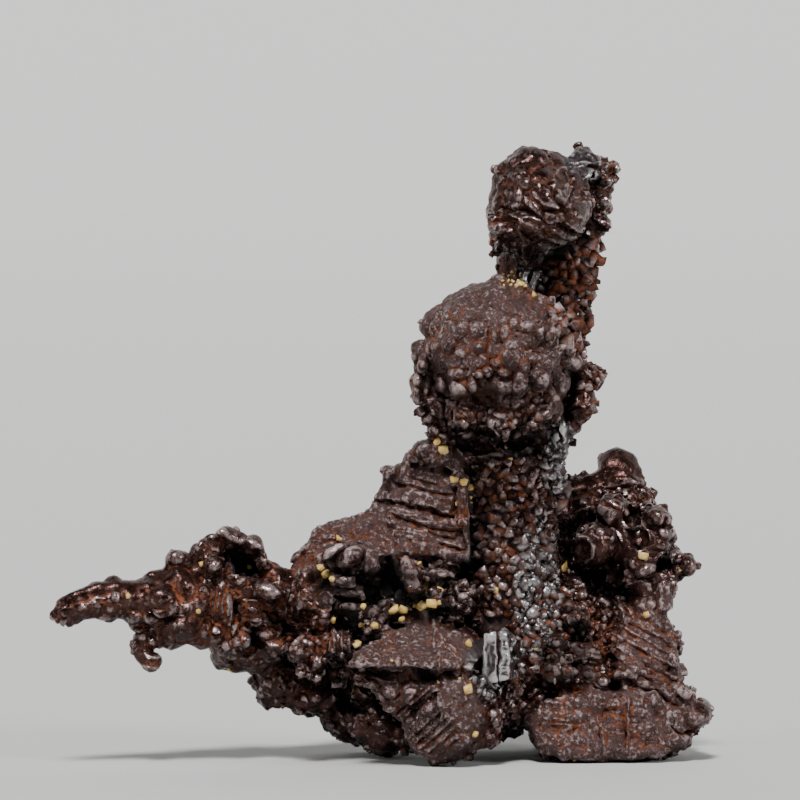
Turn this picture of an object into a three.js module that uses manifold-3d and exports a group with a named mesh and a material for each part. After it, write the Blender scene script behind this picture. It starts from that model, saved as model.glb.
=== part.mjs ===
// Prophecy stone: one intergrown cluster of iron oxide crystals, about 42 mm wide.
// A tooth-edged column carries two crystal balls, a ribbed wing leans on its foot,
// an arm of knobs runs out to one side and a bubbly block stands behind the other.
// Everything is grown together, so the whole stone is one solid.
// Millimetres. Each place is (across, up, back) in a 50 mm square seen from the front:
// across from its left side, up from its lower side and back from the column's axis.
// The finished solid is tilted onto its feet, and the origin is set under its middle.

import * as THREE from "three";
import { ConvexGeometry } from "three/addons/geometries/ConvexGeometry.js";
import { mergeVertices } from "three/addons/utils/BufferGeometryUtils.js";
import Module from "manifold-3d";

const REST_TILT = 4; // degrees that the upright growth frame leans forward at rest
const FLOOR_HEIGHT = 2.35; // height of the resting plane in the tilted frame
const ROUGHNESS = 0.15; // share of its radius by which a knob's corners stray
const LIMB_ROUGHNESS = 0.06; // the same for the corners of a limb's rings
const SMALL_KNOB = 2.05; // largest radius of a knob that is left with twenty facets
const SEED_STRIDE = 31; // keeps the stray numbers of neighbouring seeds apart
const STONE_COLOUR = 0x3b2a26;
const MERGE_GAP = 1e-4; // corners nearer than this are one corner
const GROUND_EDGE = 200; // edge of the block that wears the feet flat

const wasm = await Module();
wasm.setup();

// ---------- shapes ----------

const at = (across, up, back) => new THREE.Vector3(across, back, up);
const turned = (...degrees) =>
  new THREE.Matrix4().makeRotationFromEuler(
    new THREE.Euler(...degrees.map(THREE.MathUtils.degToRad)),
  );

// The same small stray number for the same seed on every build, from -1 to 1.
function stray(seed) {
  const wave = Math.sin(seed * 12.9898 + 4.1414) * 43758.5453;
  return 2 * (wave - Math.floor(wave)) - 1;
}

function bareGeometry(geometry) {
  const loose = geometry.index ? geometry.toNonIndexed() : geometry;
  const bare = new THREE.BufferGeometry();
  bare.setAttribute("position", loose.getAttribute("position"));
  return mergeVertices(bare, MERGE_GAP);
}

function solidOf(geometry) {
  const merged = bareGeometry(geometry);
  return new wasm.Manifold(
    new wasm.Mesh({
      numProp: 3,
      vertProperties: merged.attributes.position.array,
      triVerts: new Uint32Array(merged.index.array),
    }),
  );
}

function geometryOf(solid) {
  const mesh = solid.getMesh();
  const corners = new Float32Array(mesh.vertProperties);
  const faces = new Uint32Array(mesh.triVerts);
  const geometry = new THREE.BufferGeometry();
  geometry.setAttribute("position", new THREE.BufferAttribute(corners, 3));
  geometry.setIndex(new THREE.BufferAttribute(faces, 1));
  return geometry;
}

// An uneven knob with flat facets, its size one radius or [across, up, back] radii.
// Its facets are turned by the seed, and lean tips the whole knob in the front plane.
function knob(place, radii, { seed = 1, detail, lean = 0 } = {}) {
  const [ra, ru, rb] = Array.isArray(radii) ? radii : [radii, radii, radii];
  const fine = detail ?? (Math.max(ra, ru, rb) > SMALL_KNOB ? 1 : 0);
  const ball = bareGeometry(new THREE.IcosahedronGeometry(1, fine));
  const facing = [1, 2, 3].map((k) => 180 * stray(seed * k));
  ball.applyMatrix4(turned(...facing));
  const corners = ball.getAttribute("position");
  for (let i = 0; i < corners.count; i++) {
    const r = 1 + ROUGHNESS * stray(seed * SEED_STRIDE + i);
    corners.setXYZ(
      i,
      corners.getX(i) * ra * r,
      corners.getY(i) * rb * r,
      corners.getZ(i) * ru * r,
    );
  }
  ball.applyMatrix4(turned(0, lean, 0));
  ball.translate(place.x, place.y, place.z);
  return solidOf(ball);
}

// Knobs listed as [across, up, back, radius or radii, lean].
function knobs(list, options = {}) {
  const first = options.seed ?? 1;
  return list.map(([across, up, back, radii, lean], i) =>
    knob(at(across, up, back), radii, { ...options, seed: first + i, lean }),
  );
}

// A crystal whose flat faces span the given corners, each [across, up, back].
const facets = (corners) =>
  solidOf(new ConvexGeometry(corners.map((c) => at(...c))));

// A limb that swells and narrows along rings of [across, up, back, half width, half depth].
function limb(rings, sides, firstAngle = 0) {
  const corners = rings.map(([across, up, back, width, depth], level) =>
    Array.from({ length: sides }, (_, k) => {
      const angle = firstAngle + (2 * Math.PI * k) / sides;
      const spread = 1 + LIMB_ROUGHNESS * stray(level * SEED_STRIDE + k);
      return [
        across + width * spread * Math.cos(angle),
        up,
        back + depth * spread * Math.sin(angle),
      ];
    }),
  );
  return corners
    .slice(1)
    .map((ring, level) => facets([...corners[level], ...ring]));
}

// The corners of an uneven ball of twelve corners, as [across, up, back].
function ballCorners([across, up, back, radius], seed) {
  const ball = bareGeometry(new THREE.IcosahedronGeometry(radius, 0));
  const corners = ball.getAttribute("position");
  return Array.from({ length: corners.count }, (_, k) => {
    const spread = 1 + ROUGHNESS * stray(seed + k);
    return [
      across + corners.getX(k) * spread,
      up + corners.getZ(k) * spread,
      back + corners.getY(k) * spread,
    ];
  });
}

// A finger that runs through stations of [across, up, back, radius].
function finger(stations, seed) {
  const balls = stations.map((station, i) => ballCorners(station, seed + SEED_STRIDE * i));
  return balls.slice(1).map((ball, i) => facets([...balls[i], ...ball]));
}

// ---------- the column and its two balls ----------

function column() {
  const rings = [
    [31.0, 4.4, 1.4, 2.2, 2.4],
    [31.4, 8.0, 1.0, 2.7, 2.6],
    [31.8, 12.5, 0.9, 3.0, 2.6],
    [32.0, 17.5, 0.9, 3.0, 2.6],
    [32.1, 21.5, 1.0, 3.2, 2.6],
    [33.2, 26.2, 1.1, 3.5, 2.6],
    [33.9, 30.6, 1.2, 3.3, 2.5],
    [34.35, 34.4, 1.3, 3.35, 2.4],
    [35.9, 38.9, 1.5, 2.6, 2.1],
    [36.2, 40.3, 1.6, 1.6, 1.5],
  ];
  return limb(rings, 8, Math.PI / 8);
}

function topBall() {
  const body = facets([
    [32.7, 41.1, -2.4],
    [30.9, 39.6, -1.6],
    [30.05, 36.5, -1.8],
    [30.4, 34.2, -1.9],
    [32.9, 33.4, -3.2],
    [36.4, 35.0, -2.6],
    [37.1, 37.3, -2.0],
    [36.6, 39.5, -1.4],
    [35.0, 40.4, -1.6],
    [34.6, 37.6, -6.3],
    [32.4, 38.9, -5.4],
    [32.2, 36.0, -5.6],
    [34.0, 35.2, -5.8],
    [36.0, 36.2, -5.0],
    [31.2, 35.6, 1.0],
    [32.8, 40.2, 1.0],
  ]);
  const leftProng = facets([
    [30.8, 39.6, -2.6],
    [31.9, 40.3, -3.2],
    [31.6, 38.4, -3.8],
    [31.1, 38.7, -1.2],
    [32.6, 39.4, -1.4],
  ]);
  const greyBlock = facets([
    [35.5, 40.6, -1.2],
    [36.2, 41.1, -0.4],
    [37.5, 40.3, -0.6],
    [37.3, 39.0, -1.8],
    [35.4, 39.2, -2.6],
    [36.2, 40.4, 1.8],
    [37.7, 39.4, 1.4],
    [35.2, 38.8, 1.2],
  ]);
  const edgeKnobs = knobs(
    [
      [38.2, 39.4, 0.2, [0.8, 0.7, 0.9]],
      [37.9, 38.6, -0.6, [0.8, 0.8, 0.9]],
      [37.6, 37.4, 0.2, [0.9, 0.6, 0.9]],
      [37.7, 36.0, 0.2, [0.7, 0.9, 0.8], 30],
      [30.7, 34.0, -2.2, [0.6, 0.6, 0.8]],
      [31.3, 34.6, -3.6, [0.8, 0.7, 0.9]],
      [31.2, 35.8, -4.2, [0.9, 0.7, 0.9]],
    ],
    { seed: 60 },
  );
  return [body, leftProng, greyBlock, ...edgeKnobs];
}

function middleBall() {
  const cap = knob(at(31.1, 28.2, -4.6), [4.3, 4.2, 4.0], {
    seed: 7,
    detail: 2,
  });
  const neckToColumn = knob(at(32.2, 27.6, -1.6), [4.2, 3.8, 2.6], { seed: 9 });
  const chin = knobs(
    [
      [29.1, 24.1, -5.6, [1.5, 1.1, 1.4], -10],
      [31.2, 23.7, -5.8, [1.4, 1.0, 1.4]],
      [33.4, 24.2, -5.0, [1.6, 1.0, 1.5], -25],
      [30.0, 25.2, -4.2, [2.4, 1.6, 2.6]],
      [32.8, 24.8, -3.6, [2.5, 1.7, 2.6]],
    ],
    { seed: 80 },
  );
  const leftRim = knobs(
    [
      [27.3, 29.8, -3.8, [1.0, 1.2, 1.2], 20],
      [26.7, 27.7, -3.6, [1.0, 1.2, 1.2]],
      [26.5, 25.7, -3.4, [1.1, 1.3, 1.1]],
      [27.4, 24.6, -3.4, [1.1, 0.8, 1.0], 35],
    ],
    { seed: 100 },
  );
  const leftNeck = finger(
    [
      [26.9, 24.6, -2.4, 0.9],
      [27.6, 23.0, -1.8, 0.9],
      [27.2, 21.8, -1.2, 1.4],
    ],
    300,
  );
  const rightRim = knobs(
    [
      [35.1, 25.7, -3.4, [0.7, 1.1, 0.9]],
      [36.0, 27.0, -2.2, [1.1, 1.0, 1.2]],
      [37.0, 26.3, -1.2, [1.0, 1.1, 1.3]],
      [36.3, 25.0, -1.4, [1.3, 1.3, 1.5]],
      [35.6, 23.4, -1.2, [1.2, 1.2, 1.5]],
      [34.9, 22.2, -0.8, [0.9, 1.1, 1.4]],
    ],
    { seed: 120 },
  );
  const shadowedFill = knob(at(28.9, 22.6, 0.2), [1.5, 2.0, 1.8], { seed: 130 });
  return [
    cap,
    neckToColumn,
    ...chin,
    ...leftRim,
    ...leftNeck,
    ...rightRim,
    shadowedFill,
  ];
}

// ---------- the ribbed wing and the knobs below it ----------

function wing() {
  const upperPlate = facets([
    [27.0, 22.7, -0.6],
    [25.5, 21.2, -0.4],
    [24.1, 20.4, 0.2],
    [23.5, 19.2, 0.4],
    [22.8, 18.0, 0.8],
    [25.0, 15.6, -1.8],
    [29.4, 14.9, -1.8],
    [28.7, 20.9, -1.2],
    [30.0, 20.5, 3.0],
    [30.0, 15.0, 4.4],
    [25.8, 18.6, 3.4],
    [24.6, 15.4, 4.0],
  ]);
  const lowerPlate = facets([
    [23.2, 18.2, 0.6],
    [21.6, 17.5, 0.6],
    [20.0, 17.2, 0.6],
    [19.0, 16.0, 0.4],
    [17.9, 14.5, 0.4],
    [19.8, 13.0, -1.8],
    [24.2, 15.6, -1.7],
    [28.6, 14.8, -1.2],
    [28.0, 12.0, -0.6],
    [21.0, 15.4, 4.6],
    [26.5, 13.0, 5.4],
    [20.0, 11.0, 4.4],
  ]);
  const blade = facets([
    [28.4, 20.4, -1.4],
    [29.0, 20.2, -2.0],
    [29.9, 17.4, -1.6],
    [29.9, 14.9, -1.4],
    [29.2, 14.6, -2.0],
    [28.6, 17.4, -2.3],
    [29.6, 20.0, 0.8],
    [30.0, 14.6, 0.8],
  ]);
  const apex = knobs(
    [
      [26.7, 22.0, -1.2, [1.1, 0.9, 1.2]],
      [27.7, 22.0, -1.5, [1.1, 1.0, 1.1]],
      [24.3, 20.5, -0.3, [0.7, 0.6, 0.8]],
    ],
    { seed: 140 },
  );
  return [upperPlate, lowerPlate, blade, ...apex];
}

function cavityKnobs() {
  const crest = facets([
    [20.1, 14.9, -3.0],
    [20.9, 15.9, -3.2],
    [22.7, 16.4, -3.0],
    [24.0, 15.9, -2.6],
    [23.6, 14.4, -3.4],
    [21.4, 14.0, -3.6],
    [20.4, 14.2, -2.6],
    [21.6, 15.6, 0.6],
    [24.4, 14.2, 0.6],
  ]);
  const knots = knobs(
    [
      [21.9, 13.2, -2.6, [1.6, 0.7, 1.4]],
      [22.2, 11.9, -2.3, [1.4, 0.9, 1.4]],
      [23.7, 11.2, -2.4, [1.0, 0.9, 1.2]],
      [25.8, 13.8, -2.4, [0.8, 1.6, 1.3], -8],
      [27.4, 12.8, -2.2, [1.1, 0.9, 1.2]],
      [28.8, 12.6, -1.9, [1.0, 1.4, 1.3]],
      [27.2, 14.2, -1.8, [0.9, 0.8, 1.2]],
      [24.6, 12.4, -1.2, [1.5, 1.7, 1.5]],
    ],
    { seed: 160 },
  );
  const hollow = knob(at(24.6, 13.9, -3.2), [0.8, 1.2, 1.9], { seed: 171 });
  return { grown: [crest, ...knots], hollow };
}

function ledge() {
  const table = facets([
    [21.5, 8.5, -5.6],
    [21.9, 9.3, -4.4],
    [24.8, 10.7, -2.4],
    [26.9, 11.9, -1.6],
    [29.2, 11.6, -1.4],
    [31.0, 9.6, -2.6],
    [29.3, 8.3, -4.9],
    [27.4, 8.5, -5.9],
    [24.4, 8.4, -6.2],
    [23.0, 8.0, -2.6],
    [29.6, 7.6, -2.2],
    [26.6, 8.6, 1.4],
  ]);
  const step = facets([
    [22.1, 7.9, -4.8],
    [24.2, 6.2, -4.2],
    [25.2, 5.4, -3.4],
    [27.4, 6.8, -4.6],
    [27.5, 8.1, -4.4],
    [24.6, 8.6, -4.6],
    [23.0, 8.4, -2.0],
    [26.0, 5.0, -0.4],
    [28.0, 8.2, -0.4],
  ]);
  const keel = facets([
    [27.5, 8.4, -4.8],
    [29.6, 8.0, -4.4],
    [31.2, 6.6, -3.4],
    [31.8, 5.0, -2.6],
    [30.8, 3.4, -2.4],
    [29.4, 2.9, -2.6],
    [28.4, 2.1, -2.9],
    [26.9, 2.3, -2.9],
    [25.7, 3.6, -3.0],
    [25.1, 5.2, -3.2],
    [27.7, 6.2, -5.2],
    [28.6, 3.8, -4.2],
    [26.0, 4.0, 1.6],
    [28.2, 2.5, 0.4],
    [30.6, 4.0, 1.0],
    [31.0, 8.0, 1.0],
  ]);
  const greyPrism = facets([
    [30.4, 10.5, -2.4],
    [31.9, 10.6, -2.6],
    [32.2, 7.6, -2.8],
    [30.5, 7.5, -3.0],
    [31.2, 10.2, -3.3],
    [31.2, 7.4, -3.6],
    [30.4, 10.4, 0.4],
    [32.4, 10.4, 0.4],
    [32.4, 7.4, 0.4],
    [30.2, 7.4, 0.4],
  ]);
  return [table, step, keel, greyPrism];
}

// ---------- the arm ----------

function arm() {
  const body = knobs(
    [
      [18.9, 12.2, -0.2, [2.6, 2.4, 2.8]],
      [16.6, 12.3, -0.8, [1.9, 1.9, 2.4]],
      [14.4, 12.3, -1.4, [2.1, 2.6, 2.5]],
      [11.6, 12.3, -2.2, [2.4, 2.5, 2.5]],
      [12.8, 10.4, -2.0, [1.6, 1.3, 1.8]],
      [10.8, 10.2, -2.4, [1.4, 1.2, 1.6]],
      [9.8, 12.5, -3.0, [1.7, 1.7, 1.8]],
      [14.8, 15.0, -0.8, [1.7, 1.2, 1.3]],
    ],
    { seed: 180 },
  );
  const upperKnobs = knobs(
    [
      [11.1, 15.0, -2.4, [1.1, 1.0, 1.2]],
      [9.6, 14.1, -2.8, [0.9, 0.7, 1.0]],
      [13.4, 14.7, -3.2, [0.9, 0.9, 1.0]],
      [17.0, 13.2, -2.8, [1.3, 1.0, 1.3], 15],
      [16.0, 11.8, -3.0, [1.2, 0.9, 1.1]],
      [18.8, 13.8, -1.4, [1.0, 0.9, 1.3]],
      [18.9, 12.4, -2.8, [1.0, 0.9, 1.1]],
      [20.3, 12.0, -2.4, [1.0, 1.2, 1.3]],
    ],
    { seed: 200 },
  );
  const arch = finger(
    [
      [12.4, 14.6, -2.2, 0.8],
      [13.2, 15.8, -2.3, 0.7],
      [14.3, 16.4, -2.2, 0.75],
      [15.7, 15.9, -1.8, 0.75],
      [16.6, 14.5, -1.3, 0.9],
      [17.7, 13.9, -0.8, 1.0],
    ],
    400,
  );
  const lowerKnobs = knobs(
    [
      [19.1, 9.4, -2.8, [1.3, 1.4, 1.4]],
      [19.7, 8.2, -2.8, [0.8, 0.9, 1.0]],
      [17.2, 9.8, -1.8, [1.4, 1.0, 1.5]],
      [21.0, 9.8, -2.6, [1.5, 1.4, 1.6]],
      [14.4, 9.8, -2.2, [1.4, 1.0, 1.4]],
    ],
    { seed: 220 },
  );
  const hangingKnobs = finger(
    [
      [9.4, 10.8, -3.0, 0.95],
      [8.9, 9.4, -3.0, 0.8],
      [9.6, 8.4, -2.9, 0.65],
    ],
    500,
  );
  const tip = finger(
    [
      [9.6, 12.5, -3.2, 1.6],
      [8.2, 12.6, -3.8, 1.5],
      [6.3, 12.6, -4.4, 1.45],
      [4.7, 12.3, -4.9, 1.15],
      [3.5, 11.6, -5.2, 0.65],
    ],
    600,
  );
  const tipTeeth = knobs(
    [
      [4.7, 11.2, -4.6, [0.9, 0.6, 0.8], -12],
      [7.0, 11.4, -4.0, [0.8, 0.5, 0.8]],
      [8.5, 11.0, -3.4, [0.7, 0.6, 0.8]],
    ],
    { seed: 230 },
  );
  return [
    ...body,
    ...upperKnobs,
    ...arch,
    ...lowerKnobs,
    ...hangingKnobs,
    ...tip,
    ...tipTeeth,
  ];
}

// ---------- the block behind the column ----------

function rearBlock() {
  const peak = [
    ...finger(
      [
        [38.7, 20.9, 8.2, 1.65],
        [39.0, 18.6, 7.6, 2.0],
        [39.4, 15.6, 6.4, 2.8],
      ],
      700,
    ),
    ...finger(
      [
        [38.4, 19.4, 7.6, 1.4],
        [36.2, 19.2, 7.2, 1.35],
        [34.2, 19.2, 6.2, 1.5],
        [34.0, 15.8, 5.4, 2.6],
      ],
      760,
    ),
    knob(at(36.4, 15.4, 6.0), [2.8, 3.4, 3.2], { seed: 244 }),
  ];
  const bubbles = knobs(
    [
      [39.7, 15.7, 4.2, [2.8, 3.0, 3.0]],
      [38.3, 18.1, 2.4, [1.3, 1.3, 1.4]],
      [36.9, 15.9, 2.0, [1.5, 1.5, 1.5]],
      [40.8, 17.6, 2.8, [1.4, 1.3, 1.7]],
      [41.4, 16.2, 2.6, [1.2, 1.4, 1.6]],
      [40.0, 14.7, 1.6, [1.3, 1.2, 1.3]],
      [40.8, 13.2, 1.8, [1.7, 1.3, 1.6]],
      [41.3, 12.4, 2.2, [1.2, 1.3, 1.5]],
      [43.2, 14.6, 2.4, [0.6, 0.65, 0.7]],
      [42.3, 14.2, 2.8, [1.0, 1.0, 1.2]],
    ],
    { seed: 260 },
  );
  const hollows = knobs(
    [
      [39.7, 18.0, 1.4, [0.5, 0.7, 1.3]],
      [36.7, 15.7, 0.6, [0.35, 0.5, 0.9]],
      [40.2, 16.4, 1.2, [0.5, 0.4, 1.0]],
      [38.3, 13.4, 1.0, [0.9, 1.2, 1.8]],
    ],
    { seed: 280 },
  );
  const ribbedFlank = facets([
    [38.6, 12.6, 1.0],
    [41.0, 12.4, 0.6],
    [42.0, 10.6, 1.0],
    [42.2, 9.2, 1.0],
    [42.8, 7.0, 0.8],
    [39.6, 6.8, -0.2],
    [38.2, 9.0, 0.2],
    [41.8, 10.8, 5.4],
    [42.6, 7.0, 6.2],
    [38.4, 12.8, 6.6],
    [38.0, 6.8, 7.4],
  ]);
  const foot = facets([
    [33.4, 6.4, -1.0],
    [36.6, 6.8, -0.9],
    [41.4, 7.2, -0.9],
    [43.2, 6.6, -0.2],
    [44.4, 5.8, 0.8],
    [44.6, 4.8, 1.2],
    [43.8, 4.2, 0.6],
    [43.0, 3.0, 0.0],
    [40.0, 2.7, -0.8],
    [36.0, 2.6, -0.9],
    [33.6, 2.8, -0.8],
    [32.4, 5.0, -0.6],
    [43.0, 7.2, 6.0],
    [43.4, 4.6, 6.0],
    [41.6, 2.2, 1.8],
    [39.8, 2.2, 1.4],
    [41.0, 2.3, 3.6],
    [34.6, 2.6, 1.6],
    [34.0, 7.2, 7.4],
    [34.2, 4.4, 7.0],
    [41.0, 4.0, 7.0],
    [40.6, 7.6, 7.8],
  ]);
  const core = knobs(
    [
      [36.4, 11.6, 4.2, [3.0, 3.8, 3.4]],
      [39.0, 9.4, 3.8, [2.9, 3.4, 3.6]],
      [35.6, 8.0, 3.0, [2.8, 2.8, 3.6]],
    ],
    { seed: 290 },
  );
  const frontKnobs = knobs(
    [
      [34.8, 12.6, 0.9, [1.1, 1.2, 1.5]],
      [36.2, 11.2, 0.7, [1.3, 1.0, 1.4]],
      [34.8, 9.9, 0.5, [1.3, 1.2, 1.5]],
      [36.7, 9.2, 0.4, [1.4, 1.1, 1.4]],
      [34.6, 7.9, 0.0, [1.4, 1.2, 1.5]],
      [37.0, 7.6, 0.0, [1.5, 1.0, 1.3]],
      [39.4, 7.8, 0.2, [1.3, 0.9, 1.2]],
      [43.6, 5.2, 0.9, [1.2, 1.1, 1.4]],
      [34.0, 14.6, 1.6, [1.3, 1.4, 1.5]],
    ],
    { seed: 310 },
  );
  return {
    grown: [...peak, ...bubbles, ribbedFlank, foot, ...core, ...frontKnobs],
    hollows,
  };
}

// ---------- the underside and the back ----------

function rootMass() {
  const heart = knobs(
    [
      [27.0, 9.6, 3.0, [4.6, 4.2, 4.0]],
      [22.8, 9.6, 2.6, [3.8, 3.6, 3.8]],
      [30.4, 6.8, 4.2, [3.8, 3.6, 4.0]],
    ],
    { seed: 330 },
  );
  const darkSlope = knobs(
    [
      [15.4, 9.3, 0.6, [2.5, 1.5, 2.3]],
      [17.4, 7.3, 2.4, [1.8, 1.9, 2.2]],
      [19.6, 6.7, 3.0, [2.1, 1.9, 2.4], 20],
      [22.0, 5.0, 4.6, [2.3, 2.0, 2.5], 20],
      [23.9, 4.4, 2.6, [2.1, 1.9, 2.4]],
      [25.6, 3.9, 1.0, [1.6, 1.3, 1.9]],
    ],
    { seed: 350 },
  );
  const feet = [
    facets([
      [21.6, 4.6, 4.0],
      [23.0, 2.4, 4.2],
      [24.6, 2.5, 4.8],
      [25.0, 4.8, 4.4],
      [23.4, 2.6, 6.6],
      [24.4, 5.2, 7.0],
      [21.8, 4.8, 6.4],
    ]),
    facets([
      [32.4, 4.4, 6.6],
      [33.4, 2.7, 7.6],
      [35.4, 2.6, 7.4],
      [36.6, 4.8, 7.0],
      [34.6, 2.7, 9.2],
      [35.4, 5.4, 9.6],
      [33.0, 5.2, 9.2],
    ]),
  ];
  return [...heart, ...darkSlope, ...feet];
}

function backSide() {
  const buttress = limb(
    [
      [30.8, 4.4, 6.8, 2.2, 2.0],
      [30.6, 8.0, 5.6, 2.7, 2.4],
      [31.2, 14.0, 4.0, 2.3, 2.0],
      [32.2, 19.6, 3.2, 1.6, 1.4],
    ],
    6,
  );
  const upperBlade = facets([
    [26.6, 17.6, 3.4],
    [24.0, 13.4, 5.6],
    [29.6, 12.6, 6.6],
    [29.8, 18.4, 4.2],
    [26.0, 12.4, 2.0],
    [30.2, 16.4, 2.0],
  ]);
  const lowerBlade = facets([
    [21.4, 12.6, 5.0],
    [25.6, 12.0, 7.4],
    [27.4, 7.4, 8.2],
    [23.4, 6.6, 6.8],
    [21.6, 8.8, 3.0],
    [27.4, 12.6, 2.6],
  ]);
  const lumps = knobs(
    [
      [28.4, 6.4, 7.4, [2.0, 1.8, 1.9]],
      [33.8, 8.6, 7.2, [2.0, 2.3, 2.0]],
      [35.8, 26.2, 3.2, [1.4, 2.1, 1.3], 10],
      [33.0, 24.0, 3.4, [1.9, 1.5, 1.3]],
      [34.8, 37.4, 3.0, [1.8, 1.9, 1.5]],
      [33.6, 35.2, 2.8, [1.5, 1.5, 1.4]],
      [37.4, 8.8, 7.8, [2.1, 1.9, 1.8]],
      [41.0, 10.4, 6.4, [1.7, 1.9, 1.8]],
      [18.6, 10.8, 2.8, [1.8, 1.6, 1.7]],
      [15.4, 12.0, 1.2, [1.5, 1.5, 1.4]],
    ],
    { seed: 370 },
  );
  return [...buttress, upperBlade, lowerBlade, ...lumps];
}

// ---------- the whole stone ----------

function grownStone() {
  const pits = cavityKnobs();
  const rear = rearBlock();
  const grown = wasm.Manifold.union([
    ...column(),
    ...topBall(),
    ...middleBall(),
    ...wing(),
    ...pits.grown,
    ...ledge(),
    ...arm(),
    ...rear.grown,
    ...rootMass(),
    ...backSide(),
  ]);
  const hollowed = grown.subtract(
    wasm.Manifold.union([pits.hollow, ...rear.hollows]),
  );
  return withoutVoids(hollowed);
}

// The same solid with its sealed voids filled, which have a negative volume.
function withoutVoids(solid) {
  const shells = solid.decompose();
  return wasm.Manifold.union(shells.filter((shell) => shell.volume() > 0));
}

// The stone leaned onto its feet, which are worn flat where it stands.
function standingStone() {
  const leaning = geometryOf(grownStone());
  leaning.rotateX(THREE.MathUtils.degToRad(-REST_TILT));
  const ground = new THREE.BoxGeometry(GROUND_EDGE, GROUND_EDGE, GROUND_EDGE);
  ground.translate(0, 0, FLOOR_HEIGHT - GROUND_EDGE / 2);
  return solidOf(leaning).subtract(solidOf(ground));
}

// The origin is on the resting plane, under the middle of the stone's box.
function centredGeometry(geometry) {
  geometry.computeBoundingBox();
  const { min, max } = geometry.boundingBox;
  geometry.translate(-(min.x + max.x) / 2, -(min.y + max.y) / 2, -min.z);
  geometry.computeVertexNormals();
  return geometry;
}

const stone = new THREE.Mesh(
  centredGeometry(geometryOf(standingStone())),
  new THREE.MeshStandardMaterial({
    color: STONE_COLOUR,
    roughness: 0.45,
    metalness: 0.25,
    flatShading: true,
  }),
);
stone.name = "prophecy_stone";

const part = new THREE.Group();
part.add(stone);

export default part;
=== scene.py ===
"""The looks of a prophecy stone: one intergrown cluster of iron oxide crystals.

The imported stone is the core. Crystals, nodules and blocks are grown on it, the whole is
remeshed into one skin, its cracks and ridges are carved, and sand grains are lodged in it.

Places are (across, back, up) in millimetres, in the upright frame that the stone grew in.
Across and up are measured in a square of PICTURE_SIDE that the camera frames, from its
lower left corner, and back is measured from the column's axis, away from the camera.
"""

import math

import bmesh
import bpy
import numpy as np
from mathutils import Matrix, Vector
from mathutils.bvhtree import BVHTree
from mathutils.kdtree import KDTree


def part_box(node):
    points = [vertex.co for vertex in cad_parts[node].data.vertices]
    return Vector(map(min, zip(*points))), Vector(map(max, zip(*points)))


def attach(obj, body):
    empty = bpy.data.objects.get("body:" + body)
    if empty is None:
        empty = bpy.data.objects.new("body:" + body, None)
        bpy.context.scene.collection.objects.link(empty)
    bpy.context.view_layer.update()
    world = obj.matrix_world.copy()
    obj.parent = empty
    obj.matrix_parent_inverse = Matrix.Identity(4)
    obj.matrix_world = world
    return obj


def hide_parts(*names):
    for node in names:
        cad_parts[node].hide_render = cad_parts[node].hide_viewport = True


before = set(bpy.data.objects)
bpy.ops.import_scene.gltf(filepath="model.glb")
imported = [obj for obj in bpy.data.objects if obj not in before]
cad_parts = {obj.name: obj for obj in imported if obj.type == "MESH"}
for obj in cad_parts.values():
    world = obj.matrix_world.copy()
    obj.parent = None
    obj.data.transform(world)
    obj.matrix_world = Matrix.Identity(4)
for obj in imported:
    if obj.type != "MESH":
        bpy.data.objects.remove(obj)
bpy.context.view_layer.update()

# ---------- driving sizes, in millimetres and radians ----------

MM = 0.001  # metres in a millimetre
PICTURE_SIDE = 50.0  # of the square that the camera frames
EYE_DISTANCE = 600.0  # from the camera to the column's axis
REST_TILT = math.radians(4)  # the upright frame leans forward by this at rest
LEFT_TIP = 2.96  # across, of the left side of the stone's box
FRONT_END = -6.98  # back, of the front of the box, in the leaned frame
FLOOR_HEIGHT = 2.35  # up, of the resting plane, in the leaned frame
CORE_VOXEL = 0.16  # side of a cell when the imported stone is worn
VOXEL = 0.08  # side of a cell of the skin
MOST_FACES = 198000  # of the finished skin

EYE = np.array([PICTURE_SIDE / 2, -EYE_DISTANCE, PICTURE_SIDE / 2])
random = np.random.default_rng(7)


def upright_to_row():
    """The matrix from upright millimetres to the row frame's metres."""
    low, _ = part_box("prophecy_stone")
    shift = Vector((LEFT_TIP, FRONT_END, FLOOR_HEIGHT)) - Vector(low) / MM
    lean = Matrix.Rotation(-REST_TILT, 4, "X")
    return Matrix.Scale(MM, 4) @ Matrix.Translation(-shift) @ lean


TO_ROW = upright_to_row()

# ---------- arrays of points and faces ----------


def mesh_arrays(mesh):
    """A mesh's points and triangles as arrays."""
    points = np.empty(len(mesh.vertices) * 3)
    mesh.vertices.foreach_get("co", points)
    mesh.calc_loop_triangles()
    faces = np.empty(len(mesh.loop_triangles) * 3, np.int32)
    mesh.loop_triangles.foreach_get("vertices", faces)
    return points.reshape(-1, 3), faces.reshape(-1, 3)


def moved(points, matrix):
    """The points after a 4 by 4 matrix."""
    m = np.array(matrix)
    return points @ m[:3, :3].T + m[:3, 3]


def mesh_from(name, points, faces):
    """A new mesh of triangles."""
    mesh = bpy.data.meshes.new(name)
    mesh.vertices.add(len(points))
    mesh.vertices.foreach_set("co", np.asarray(points, np.float32).ravel())
    mesh.loops.add(faces.size)
    mesh.loops.foreach_set("vertex_index", np.asarray(faces, np.int32).ravel())
    mesh.polygons.add(len(faces))
    mesh.polygons.foreach_set("loop_start", np.arange(0, faces.size, faces.shape[1], dtype=np.int32))
    mesh.update(calc_edges=True)
    return mesh


def object_of(mesh):
    """A new object of the mesh, in the scene."""
    piece = bpy.data.objects.new(mesh.name, mesh)
    bpy.context.scene.collection.objects.link(piece)
    return piece


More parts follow.
